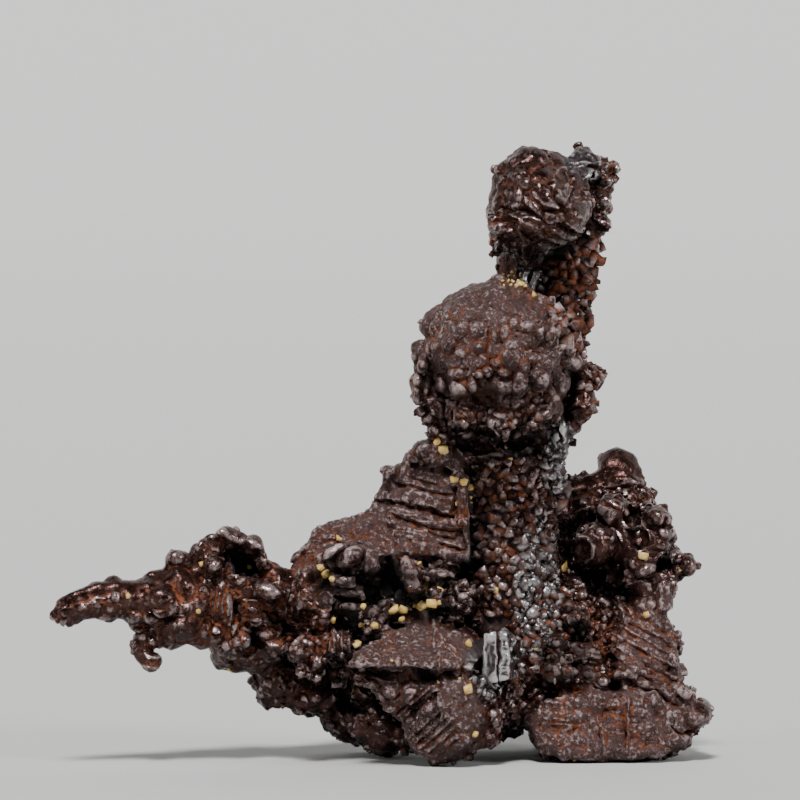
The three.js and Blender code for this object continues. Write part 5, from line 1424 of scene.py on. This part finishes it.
# Beds of small crystals: in the cavity, under the ball, around the prisms and behind the foot.
BEDS = [
    [(20.4, 13.6), (24.0, 13.4), (25.0, 11.4), (28.6, 12.0), (28.8, 14.2), (26.4, 14.6)],
    [(28.4, 23.6), (33.6, 23.6), (34.4, 21.8), (29.4, 21.4)],
    [(29.4, 8.0), (32.6, 8.0), (32.6, 4.6), (30.4, 3.4), (29.6, 6.2)],
    [(34.6, 15.4), (38.4, 13.6), (38.8, 11.4), (38.0, 7.4), (34.2, 7.0), (34.2, 10.0)],
    [(34.4, 18.2), (35.6, 18.4), (35.6, 14.4), (34.4, 14.8)],
    [(18.6, 11.4), (21.4, 12.2), (24.0, 11.2), (21.8, 8.6), (18.8, 7.6), (17.4, 9.4)],
]
# Patches are (shapes, outline, step, radius, stand, lean, stray, stray in size), as in Growth.patch.
PATCHES = [
    (TEETH, COLUMN_SHAFT, (0.62, 0.55), (0.38, 0.35), 0.66, -6, 0.8, 0.4),
    (POINTS, COLUMN_EDGE, (0.5, 0.46), (0.27, 0.29), 0.7, 10, 1.2, 0.5),
    (TEETH, COLUMN_EDGE, (0.7, 0.62), (0.34, 0.32), 0.7, 0, 1.2, 0.5),
    (SHARDS, COLUMN_LEFT, (0.5, 0.44), (0.2, 0.17), 0.55, 0, 0.8, 0.4),
    (TEETH, UPPER_SHAFT, (0.62, 0.52), (0.38, 0.32), 0.66, 12, 0.8, 0.4),
    *((POINTS, bed, (0.72, 0.66), (0.2, 0.19), 0.55, 0, 1.2, 0.45) for bed in BEDS),
    (SHARDS, BALL_UNDERSIDE, (0.6, 0.52), (0.32, 0.27), 0.55, 0, 1.2, 0.5),
    (SHARDS, KEEL_LEFT, (0.36, 0.33), (0.14, 0.12), 0.45, 0, 1.0, 0.5),
]


SCATTERED = 2600  # crystals, of which fewer are kept where the skin is smooth
LODGED = 50  # sand grains beside those that show


def scattered_crystals(many):
    """Small crystals all round the stone, mostly where its skin isn't smooth."""
    picked = random.choice(len(skin.points), many, replace=False)
    places = skin.points[picked]
    smooth = np.maximum(0.93 * smoothness(places), 0.85 * relief.calm()[picked])
    smooth = np.maximum(smooth, 0.8 * eggs_at(places, ROUND_EGGS))
    picked = picked[(random.random(many) > smooth) & (bareness(places) < 0.5)]
    normals = skin.normals[picked]
    frames = standing_frames(normals, random.normal(size=normals.shape))
    frames = frames @ rotations(random.uniform(-0.8, 0.8, normals.shape))
    radii = random.uniform(0.1, 0.26, (len(picked), 1)) * random.uniform(0.75, 1.25, normals.shape)
    crystals.crowd(POINTS + BLOCKS, skin.points[picked], frames, radii)


# Sand grains are (across, up, half width, half height, lean clockwise in degrees).
GRAINS = [
    (27.3, 22.4, 0.31, 0.25), (27.7, 21.9, 0.38, 0.34), (28.4, 20.1, 0.38, 0.31),
    (29.0, 19.9, 0.31, 0.25), (29.4, 19.5, 0.25, 0.25), (29.4, 18.9, 0.12, 0.12),
    (30.3, 20.1, 0.22, 0.22), (31.9, 21.25, 0.25, 0.16, -20), (21.2, 16.4, 0.25, 0.2),
    (20.0, 14.5, 0.35, 0.25, 30), (20.4, 14.1, 0.35, 0.3), (20.8, 13.8, 0.25, 0.2),
    (24.6, 11.9, 0.45, 0.25), (25.2, 11.9, 0.35, 0.28), (25.9, 12.1, 0.45, 0.38),
    (26.4, 12.1, 0.42, 0.42), (27.0, 12.3, 0.42, 0.35), (27.4, 12.4, 0.2, 0.25),
    (25.1, 11.3, 0.25, 0.2), (26.6, 13.4, 0.3, 0.42), (27.5, 13.2, 0.25, 0.25),
    (26.2, 14.75, 0.18, 0.18), (22.7, 12.1, 0.2, 0.2), (20.8, 11.25, 0.2, 0.25),
    (22.6, 11.0, 0.25, 0.2), (23.4, 10.9, 0.25, 0.25), (22.25, 9.8, 0.35, 0.25),
    (31.0, 13.1, 0.22, 0.3), (29.3, 9.75, 0.25, 0.32), (33.3, 9.7, 0.38, 0.38),
    (29.25, 6.95, 0.38, 0.34), (28.7, 7.6, 0.12, 0.12), (27.4, 7.4, 0.12, 0.12),
    (29.7, 4.1, 0.22, 0.22), (40.2, 15.25, 0.38, 0.3), (42.4, 14.4, 0.3, 0.2), (38.9, 12.9, 0.22, 0.2),
    (40.4, 11.6, 0.22, 0.2), (35.3, 14.6, 0.28, 0.6, 25), (8.0, 12.75, 0.18, 0.18),
    (12.4, 11.8, 0.18, 0.18), (12.6, 14.75, 0.18, 0.18), (15.6, 14.6, 0.2, 0.2),
    (32.5, 32.25, 0.3, 0.2), (33.4, 31.6, 0.22, 0.22),
]
# The outline of the fine sand at the neck.
FINE_SAND = [(31.2, 32.9), (32.4, 33.1), (33.0, 32.2), (32.4, 31.9), (31.2, 32.2)]


def lodged_sand(many):
    """The grains that show, fine sand at the neck, and a few more all round the stone."""
    sand.lumps(WORN_GRAINS, GRAINS, proud=0.7, jitter=0.5)
    sand.patch(WORN_GRAINS, FINE_SAND, (0.34, 0.3), (0.13, 0.11), stray=1.0, size_stray=0.4)
    away = np.flatnonzero(skin.normals[:, 1] > 0)
    picked = random.choice(away, many, replace=False)
    normals = skin.normals[picked]
    frames = standing_frames(normals, random.normal(size=normals.shape))
    radii = random.uniform(0.08, 0.2, (many, 1)) * random.uniform(0.8, 1.2, normals.shape)
    sand.crowd(WORN_GRAINS, skin.points[picked], frames, radii)


for patch in PATCHES:
    crystals.patch(*patch)
scattered_crystals(SCATTERED)
lodged_sand(LODGED)

# ---------- what the material needs to know of the shape ----------


def hollows(skin, rounds):
    """How far each point lies below the skin around it, in millimetres, and above it if negative."""
    smooth = skin.points.copy()
    for _ in range(rounds):
        smooth += 0.6 * (skin.averaged(smooth) - smooth)
    return np.sum((smooth - skin.points) * skin.normals, axis=1)


def between(values, low, high):
    """The values spread from 0 at low to 1 at high, and cut there."""
    return np.clip((values - low) / (high - low), 0, 1)


SHADE_REACH = 3.0  # how near a surface has to be to shade another
FLOOR_SHADE = 0.75  # how much of the light from below is missing, so that undersides get painted shade
START_OFF = 0.12  # how far off the skin a ray starts
GRAZING = 0.1  # rays that rise less than this off the skin aren't sent
BELOW = -0.2  # a ray that points lower than this meets the floor
COARSE_VOXEL = 0.32  # side of a cell of the coarser skin that is measured
# Rounds of smoothing that find a crack, a hollow and, on the coarser skin, a dip.
CRACK_ROUNDS, HOLLOW_ROUNDS, DIP_ROUNDS = 4, 16, 14


def hidden_sky_shade(skin, many=40):
    """From 0 to 1, how much of the sky over each point is hidden by the stone near it, which the
    material paints as shade.
    """
    turns = np.arange(many) * math.pi * (3 - math.sqrt(5))
    heights = 1 - (2 * np.arange(many) + 1) / many
    across = np.sqrt(1 - heights**2)
    rays = np.stack([across * np.cos(turns), across * np.sin(turns), heights], axis=1)
    tree = surface(skin)
    facing = skin.normals @ rays.T
    starts = skin.points + START_OFF * skin.normals
    directions = [Vector(ray) for ray in rays]
    hidden = np.zeros(len(starts))
    for k, start in enumerate(starts.tolist()):
        for j in np.flatnonzero(facing[k] > GRAZING):
            if tree.ray_cast(start, directions[j], SHADE_REACH)[0] is not None:
                hidden[k] += facing[k, j]
            elif heights[j] < BELOW:
                hidden[k] += FLOOR_SHADE * facing[k, j]
    return hidden / np.maximum(np.sum(np.maximum(facing, 0), axis=1), 1e-6)


def looked_up(values, points, others):
    """The values of the points nearest to the others."""
    tree = KDTree(len(points))
    for k, point in enumerate(points.tolist()):
        tree.insert(point, k)
    tree.balance()
    return values[[tree.find(other)[1] for other in others.tolist()]]


def coarse_looks():
    """The points of a coarser skin, and at each the hidden sky that is painted as shade, and the
    hollowness.
    """
    coarse = object_of(stone.data.copy())
    with_modifier(coarse, "REMESH", mode="VOXEL", voxel_size=COARSE_VOXEL)
    surroundings = Skin(coarse.data)
    found = np.stack([hidden_sky_shade(surroundings), hollows(surroundings, DIP_ROUNDS)], axis=1)
    bpy.data.objects.remove(coarse)
    return surroundings.points, found


# Cracks and hollows get rust and painted shade in the material, and edges get wear and a painted
# highlight.
fine = hollows(skin, CRACK_ROUNDS)
looks = {
    "crack": between(fine, 0.002, 0.035),
    "hollow": between(hollows(skin, HOLLOW_ROUNDS), 0.0, 0.12),
    "edge": between(-fine, 0.004, 0.035),
}
coarse_points, coarse_values = coarse_looks()

# ---------- finishing the mesh ----------

UNSEEN_FACTOR = 0.03  # how much more readily the far side's faces are merged
SHARP_FROM = math.radians(38)  # an edge that turns by more than this shows as a sharp one


def lighten():
    """Fewer faces, most of them where the camera looks, and the stone set on the floor."""
    faces = sum(len(p.vertices) - 2 for p in skin.mesh.polygons)
    group = stone.vertex_groups.new(name="unseen")
    weights = np.round(1 - 0.9 * np.clip(0.5 - skin.normals[:, 1], 0, 1), 1)
    for weight in np.unique(weights):
        group.add(np.flatnonzero(weights == weight).tolist(), weight, "REPLACE")
    with_modifier(
        stone,
        "DECIMATE",
        ratio=MOST_FACES / faces,
        use_collapse_triangulate=True,
        vertex_group="unseen",
        vertex_group_factor=UNSEEN_FACTOR,
    )
    stone.vertex_groups.clear()
    light = Skin(stone.data)
    light.points = moved(light.points, TO_ROW)
    light.points[:, 2] = np.maximum(light.points[:, 2], 0)
    light.renew()


fine_points = skin.points.copy()
lighten()

# Eggs of each look, by the name that the material reads it by.
LOOK_EGGS = {
    "metal": {
        "prisms": ((31.2, -4.0, 8.6), (1.9, 2.6, 2.0)),
        "column edge": ((33.6, -0.6, 13.4), (1.3, 2.6, 4.0)),
        "column side": ((35.0, 0.5, 20.4), (0.9, 2.6, 1.4)),
        "top corner": ((36.3, -1.0, 39.6), (1.5, 2.0, 1.0)),
        "under the balls": ((34.9, -1.5, 22.6), (0.9, 2.0, 1.4)),
        "between the balls": ((33.0, -2.0, 32.3), (0.9, 2.0, 1.2)),
    },
    "red": {
        "blade": ((29.0, -2.4, 17.6), (0.9, 2.4, 2.4)),
        "column foot": ((35.6, -1.0, 10.0), (2.6, 3.4, 3.6)),
        "foot": ((37.5, -4.0, 4.6), (5.0, 3.0, 2.6)),
        "arm": ((15.6, -1.0, 11.6), (6.0, 4.0, 4.0)),
        "arm tip": ((7.0, 0.0, 12.0), (4.5, 3.0, 3.0)),
        "ball's underside": ((30.8, -5.4, 24.4), (3.6, 3.0, 2.2)),
        "upper column": ((36.2, 0.5, 31.5), (2.2, 3.0, 4.4)),
    },
    "shiny": {
        "crater ball": ((37.0, -2.0, 15.8), (1.9, 2.8, 1.8)),
        "bubbles": ((39.8, -1.4, 15.6), (3.4, 3.2, 3.0)),
        "cavity": ((21.6, -4.0, 15.0), (2.0, 2.2, 1.4)),
    },
    "satin": {
        **LAYERED_EGGS,
        "foot": SMOOTH_EGGS["foot"],
        "middle ball": ((31.0, -4.4, 28.4), (4.6, 4.6, 4.2)),
    },
}
# Eggs of the bed that the small crystals stand on, painted darker between them as shade.
SHADED_BED_EGGS = {
    "column": ((32.2, -1.4, 16.0), (2.9, 2.2, 6.2)),
    "upper column": ((35.8, -0.8, 31.4), (1.9, 2.2, 3.6)),
    "under the ball": ((31.5, -2.6, 22.6), (3.0, 1.8, 1.0)),
    "cavity": ((24.4, -1.6, 12.8), (4.4, 3.0, 1.8)),
    "column foot": ((35.6, -1.6, 10.6), (2.4, 2.2, 3.4)),
}


def keep_looks(piece, own):
    """Gives each point of a piece its own looks, and the painted shade and region that it lies in."""
    upright = moved(Skin(piece.data).points, TO_ROW.inverted())
    painted_sky_shade, sunk = looked_up(coarse_values, coarse_points, upright).T
    # The dip makes broad hollows less pale in the material, as painted shade.
    values = {**own, "hidden_sky_shade": painted_sky_shade, "dip": between(sunk, -0.3, 0.4)}
    values.update({name: eggs_at(upright, eggs) for name, eggs in LOOK_EGGS.items()})
    for name, numbers in values.items():
        layer = piece.data.attributes.new(name, "FLOAT", "POINT")
        layer.data.foreach_set("value", numbers.astype(np.float32))


def stone_looks():
    """The looks of the lighter mesh's points, from the nearest places measured above."""
    upright = moved(Skin(stone.data).points, TO_ROW.inverted())
    nearest = looked_up(np.stack(list(looks.values()), axis=1), fine_points, upright)
    own = {"tone": np.full(len(upright), 0.5), "bed": eggs_at(upright, SHADED_BED_EGGS)}
    return {**dict(zip(looks, nearest.T)), **own}


def placed(name, growth):
    """A piece of the shapes gathered in a growth, in the row frame and above the floor."""
    points = moved(np.concatenate(growth.points), TO_ROW)
    points[:, 2] = np.maximum(points[:, 2], 0)
    return object_of(mesh_from(name, points, np.concatenate(growth.faces)))


def crystal_looks():
    """Painted black shade at a crystal's root, rusty above it and pale at its tip as a painted
    highlight.
    """
    tips = np.concatenate(crystals.tips)
    return {
        "crack": 1 - between(tips, -0.6, 0.3),
        "hollow": 1 - between(tips, -0.7, 0.0),
        "edge": 0.2 + 0.6 * between(tips, 0.0, 0.9),
        "tone": np.concatenate(crystals.tones),
        "bed": np.zeros(len(tips)),
    }


keep_looks(stone, stone_looks())
stone.data.shade_smooth()
stone.data.set_sharp_from_angle(angle=SHARP_FROM)
small_crystals = placed("small_crystals", crystals)
keep_looks(small_crystals, crystal_looks())
sand_grains = placed("sand_grains", sand)

# ---------- materials ----------


class Recipe:
    """A material whose nodes are added a line at a time."""

    def __init__(self, name):
        self.material = bpy.data.materials.new(name)
        self.material.use_nodes = True
        self.tree = self.material.node_tree
        self.surface = self.tree.nodes["Principled BSDF"]

    def node(self, kind, inputs=(), **settings):
        """A node with its settings, and its inputs set to values or linked to outputs."""
        added = self.tree.nodes.new("ShaderNode" + kind)
        for key, value in settings.items():
            setattr(added, key, value)
        for socket, value in dict(inputs).items():
            self.feed(added.inputs[socket], value)
        return added

    def feed(self, socket, value):
        """Links an output to the socket, or sets the socket to a value."""
        if isinstance(value, bpy.types.NodeSocket):
            self.tree.links.new(value, socket)
        else:
            socket.default_value = value

    def value_of(self, name):
        """The mesh's own value of that name."""
        return self.node("Attribute", attribute_name=name).outputs["Fac"]

    def grain(self, size, detail=3.0, rough=0.55, warp=0.0):
        """Noise from 0 to 1 with lumps of about that many millimetres."""
        place = self.node("TexCoord").outputs["Object"]
        inputs = {"Vector": place, "Scale": 1 / (size * MM), "Detail": detail}
        inputs |= {"Roughness": rough, "Distortion": warp}
        return self.node("TexNoise", inputs).outputs["Fac"]

    def spread(self, value, low, high, start=0.0, end=1.0):
        """The value moved from low..high to start..end, and cut there."""
        inputs = {"Value": value, "From Min": low, "From Max": high, "To Min": start, "To Max": end}
        return self.node("MapRange", inputs, clamp=True).outputs["Result"]

    def math(self, operation, *values):
        """The result of an operation on one value, or on the values one after another."""
        total = self.node("Math", dict(enumerate(values[:2])), operation=operation).outputs[0]
        for value in values[2:]:
            total = self.node("Math", {0: total, 1: value}, operation=operation).outputs[0]
        return total

    def sum(self, *values):
        """All the values added."""
        return self.math("ADD", *values)

    def times(self, *values):
        """All the values multiplied."""
        return self.math("MULTIPLY", *values)

    def mix(self, share, a, b):
        """Colour a where the share is 0 and b where it is 1."""
        added = self.node("Mix", data_type="RGBA")
        chosen = {k.identifier: k for k in added.inputs}
        for key, value in (("Factor_Float", share), ("A_Color", a), ("B_Color", b)):
            self.feed(chosen[key], value)
        return next(k for k in added.outputs if k.type == "RGBA")

    def bump(self, height, depth, strength):
        """Makes the surface uneven by a height from 0 to 1, over a depth in millimetres."""
        inputs = {"Height": height, "Distance": depth * MM, "Strength": strength}
        self.feed(self.surface.inputs["Normal"], self.node("Bump", inputs).outputs["Normal"])


def colour(red, green, blue):
    """A colour given as it shows on a screen, from 0 to 255, as the shader wants it."""
    shares = (red / 255, green / 255, blue / 255)
    return (*(c / 12.92 if c < 0.04045 else ((c + 0.055) / 1.055) ** 2.4 for c in shares), 1.0)


# The blackest colour below is painted shade and the metal's black specks, the ashen one is pale tone,
# wear and painted highlight, and the steel one is wear and painted highlight on the metal's edges.
BLACK_SHADE_AND_SPECKS = colour(12, 5, 3)
UMBER = colour(44, 22, 17)
PLUM = colour(84, 57, 52)
MAUVE = colour(84, 64, 62)
ASH_TONE_AND_HIGHLIGHT = colour(186, 166, 164)
SLATE = colour(92, 88, 92)
STEEL_WEAR_AND_HIGHLIGHT = colour(200, 196, 196)
RUST = colour(92, 42, 20)
OCHRE = colour(154, 84, 42)
STRAW = colour(250, 208, 118)
OLIVE = colour(214, 174, 84)
CREAM = colour(255, 242, 200)


def stone_material():
    """Glossy iron oxide: plum faces, edges painted ashen as wear and highlight, and hollows painted
    black as shade and rimmed with rust.
    """
    r = Recipe("iron_oxide")
    crack, hollow, edge = (r.value_of(k) for k in ("crack", "hollow", "edge"))
    painted_sky_shade, dip, tone, bed = (r.value_of(k) for k in ("hidden_sky_shade", "dip", "tone", "bed"))
    metal, red, shiny, satin = (r.value_of(k) for k in ("metal", "red", "shiny", "satin"))
    metal = r.times(metal, r.spread(tone, 0.15, 0.5, 0.2, 1))
    patches = r.grain(2.4, 4)
    specks = r.grain(0.28, 4, 0.65)
    blotches = r.grain(0.7, 4, 0.62)
    base = r.mix(r.spread(blotches, 0.36, 0.64), UMBER, PLUM)
    base = r.mix(r.times(satin, r.spread(r.grain(0.16, 4, 0.7), 0.36, 0.6, 0.1, 1)), base, MAUVE)
    # Paleness: random tone and specks, edges as wear and painted highlight, the crests of the satin's
    # bump as painted sparkle, and less in broad dips as painted shade.
    pale = r.sum(
        r.times(edge, r.spread(r.grain(1.0, 4, 0.6), 0.4, 0.6, 0.45, 1.1)),
        r.spread(specks, 0.35, 0.7, -0.3, 0.3),
        r.times(dip, -0.3),
        r.times(satin, edge, -0.18),
        r.times(satin, r.spread(r.grain(0.2, 5, 0.75), 0.42, 0.63, -0.28, 0.56)),
        r.spread(tone, 0, 1, -0.45, 0.45),
    )
    base = r.mix(r.spread(pale, 0.1, 0.8, 0, 0.9), base, ASH_TONE_AND_HIGHLIGHT)
    base = r.mix(r.times(metal, 0.6), base, SLATE)
    base = r.mix(r.times(metal, r.spread(r.grain(0.4, 3), 0.42, 0.6, 0, 0.5)), base, BLACK_SHADE_AND_SPECKS)
    # The metal's edges are painted pale steel, as wear and as a painted highlight.
    base = r.mix(r.times(metal, r.spread(edge, 0.2, 0.9)), base, STEEL_WEAR_AND_HIGHLIGHT)
    fibre = r.math("ABSOLUTE", r.math("SUBTRACT", r.grain(0.5, 5, 0.7, 1.2), 0.5))
    veins = r.spread(fibre, 0.0, 0.04, 0.25, 0)
    rusty = r.sum(
        r.times(crack, 0.65),
        veins,
        r.times(hollow, 0.2),
        r.spread(patches, 0.35, 0.7, -0.22, 0.22),
        r.spread(specks, 0.3, 0.7, -0.15, 0.15),
        r.times(red, 0.2),
        r.times(satin, r.spread(r.grain(0.8, 5, 0.75), 0.48, 0.68, 0, 0.16)),
        r.times(metal, -0.3),
        r.times(shiny, -0.4),
    )
    share = r.spread(rusty, 0.3, 0.75)
    rust = r.mix(r.spread(r.grain(0.35, 3), 0.42, 0.62), RUST, OCHRE)
    tint = r.mix(r.times(share, 0.85), base, rust)
    # Painted shade, in black: where the stone hides the sky or the floor's light, in cracks and
    # hollows, and on the bed between the small crystals, less on the metal.
    painted_shade = r.sum(
        r.spread(painted_sky_shade, 0.3, 0.75, 0, 0.8),
        r.times(r.spread(crack, 0.75, 1), 0.45),
        r.times(r.spread(hollow, 0.5, 1), 0.5),
        r.times(bed, 0.6),
        r.times(metal, -0.35),
    )
    r.feed(r.surface.inputs["Base Color"], r.mix(r.spread(painted_shade, 0, 1), tint, BLACK_SHADE_AND_SPECKS))
    dull = r.sum(r.times(share, 0.35), r.times(hollow, 0.2), r.times(bed, 0.3), r.times(satin, 0.14))
    r.feed(r.surface.inputs["Roughness"], r.sum(r.spread(specks, 0.3, 0.7, 0.18, 0.38), dull))
    stained = r.sum(share, hollow, bed, r.times(satin, 0.5))
    r.feed(r.surface.inputs["Metallic"], r.spread(stained, 0.0, 0.9, 0.75, 0.0))
    r.surface.inputs["IOR"].default_value = 1.45
    r.surface.inputs["Specular IOR Level"].default_value = 0.35
    height = r.sum(
        r.grain(0.3, 3, 0.55),
        r.times(r.grain(0.1, 2), 0.3),
        r.times(satin, r.grain(0.2, 5, 0.75), 2.2),
    )
    r.bump(height, 0.05, 0.8)
    return r.material


def sand_material():
    """Quartz sand, from pale straw to olive, stained between the grains."""
    r = Recipe("sand")
    tone = r.mix(r.spread(r.grain(0.9, 2), 0.4, 0.6), STRAW, OLIVE)
    tone = r.mix(r.spread(r.grain(0.25, 3, 0.6), 0.5, 0.7, 0, 0.7), tone, CREAM)
    tone = r.mix(r.spread(r.grain(0.12, 3), 0.55, 0.75, 0, 0.5), tone, OCHRE)
    r.feed(r.surface.inputs["Base Color"], tone)
    r.feed(r.surface.inputs["Roughness"], r.spread(r.grain(0.1, 2), 0.3, 0.7, 0.25, 0.5))
    r.surface.inputs["IOR"].default_value = 1.54
    r.bump(r.grain(0.08, 3), 0.03, 0.7)
    return r.material


def dress(piece, material):
    """Gives a piece its material, and says what it rides on."""
    piece.data.materials.clear()
    piece.data.materials.append(material)
    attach(piece, "root")


stone.name = "prophecy_stone_skin"
iron_oxide = stone_material()
dress(stone, iron_oxide)
dress(small_crystals, iron_oxide)
dress(sand_grains, sand_material())
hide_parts("prophecy_stone")

# ---------- floor, light and camera, in metres ----------

FLOOR_FRONT = -2.5  # where the floor ends, on the camera's side
FLOOR_REACH = 0.5  # from the stone to where the floor starts to curve up
SWEEP_RADIUS = 0.3  # of that curve
BACKDROP_TOP = 1.6
BACKDROP_HALF = 2.0  # half its width


def stage():
    """A floor that curves up into a wall behind the stone."""
    profile = [(FLOOR_FRONT, 0.0), (0.0, 0.0)]
    for turn in np.linspace(0, math.pi / 2, 17):
        back = FLOOR_REACH + SWEEP_RADIUS * math.sin(turn)
        profile.append((back, SWEEP_RADIUS * (1 - math.cos(turn))))
    profile.append((FLOOR_REACH + SWEEP_RADIUS, BACKDROP_TOP))
    points = [(side, back, up) for back, up in profile for side in (-BACKDROP_HALF, BACKDROP_HALF)]
    faces = [(2 * k, 2 * k + 1, 2 * k + 3, 2 * k + 2) for k in range(len(profile) - 1)]
    floor = object_of(mesh_from("floor", np.array(points, float), np.array(faces)))
    floor.data.shade_smooth()
    r = Recipe("pale_floor")
    r.surface.inputs["Base Color"].default_value = (0.72, 0.72, 0.71, 1)
    r.surface.inputs["Roughness"].default_value = 0.9
    floor.data.materials.append(r.material)


def aimed(thing, place, target):
    """Puts a light or the camera at a place, looking at a target."""
    thing.location = place
    thing.rotation_euler = (Vector(target) - Vector(place)).to_track_quat("-Z", "Y").to_euler()


def broad_light(name, toward, strength, spread):
    """Even light from far off, as soft as its spread in degrees."""
    light = bpy.data.lights.new(name, "SUN")
    light.energy = strength
    light.angle = math.radians(spread)
    holder = bpy.data.objects.new(name, light)
    bpy.context.scene.collection.objects.link(holder)
    aimed(holder, toward, (0, 0, 0))


def lights():
    """A broad light from above, weaker ones from both sides, and a faint even sky."""
    broad_light("key", (-0.1, -0.8, 1.2), 3.2, 12)
    broad_light("left", (-1.2, -0.5, 0.5), 0.5, 20)
    broad_light("right", (1.2, -0.4, 0.5), 1.0, 14)
    world = bpy.data.worlds.new("studio")
    world.use_nodes = True
    sky = world.node_tree.nodes["Background"].inputs
    sky["Color"].default_value = (0.92, 0.95, 1, 1)
    sky["Strength"].default_value = 0.06
    bpy.context.scene.world = world


def camera():
    """A camera far off, which frames the square picture around the stone."""
    data = bpy.data.cameras.new("camera")
    data.sensor_width = 36
    data.lens = data.sensor_width * EYE_DISTANCE / PICTURE_SIDE
    data.clip_start = 0.01
    eye = bpy.data.objects.new("camera", data)
    bpy.context.scene.collection.objects.link(eye)
    middle = TO_ROW @ Vector((PICTURE_SIDE / 2, 0, PICTURE_SIDE / 2))
    aimed(eye, TO_ROW @ Vector(EYE), middle)
    bpy.context.scene.camera = eye


stage()
lights()
camera()
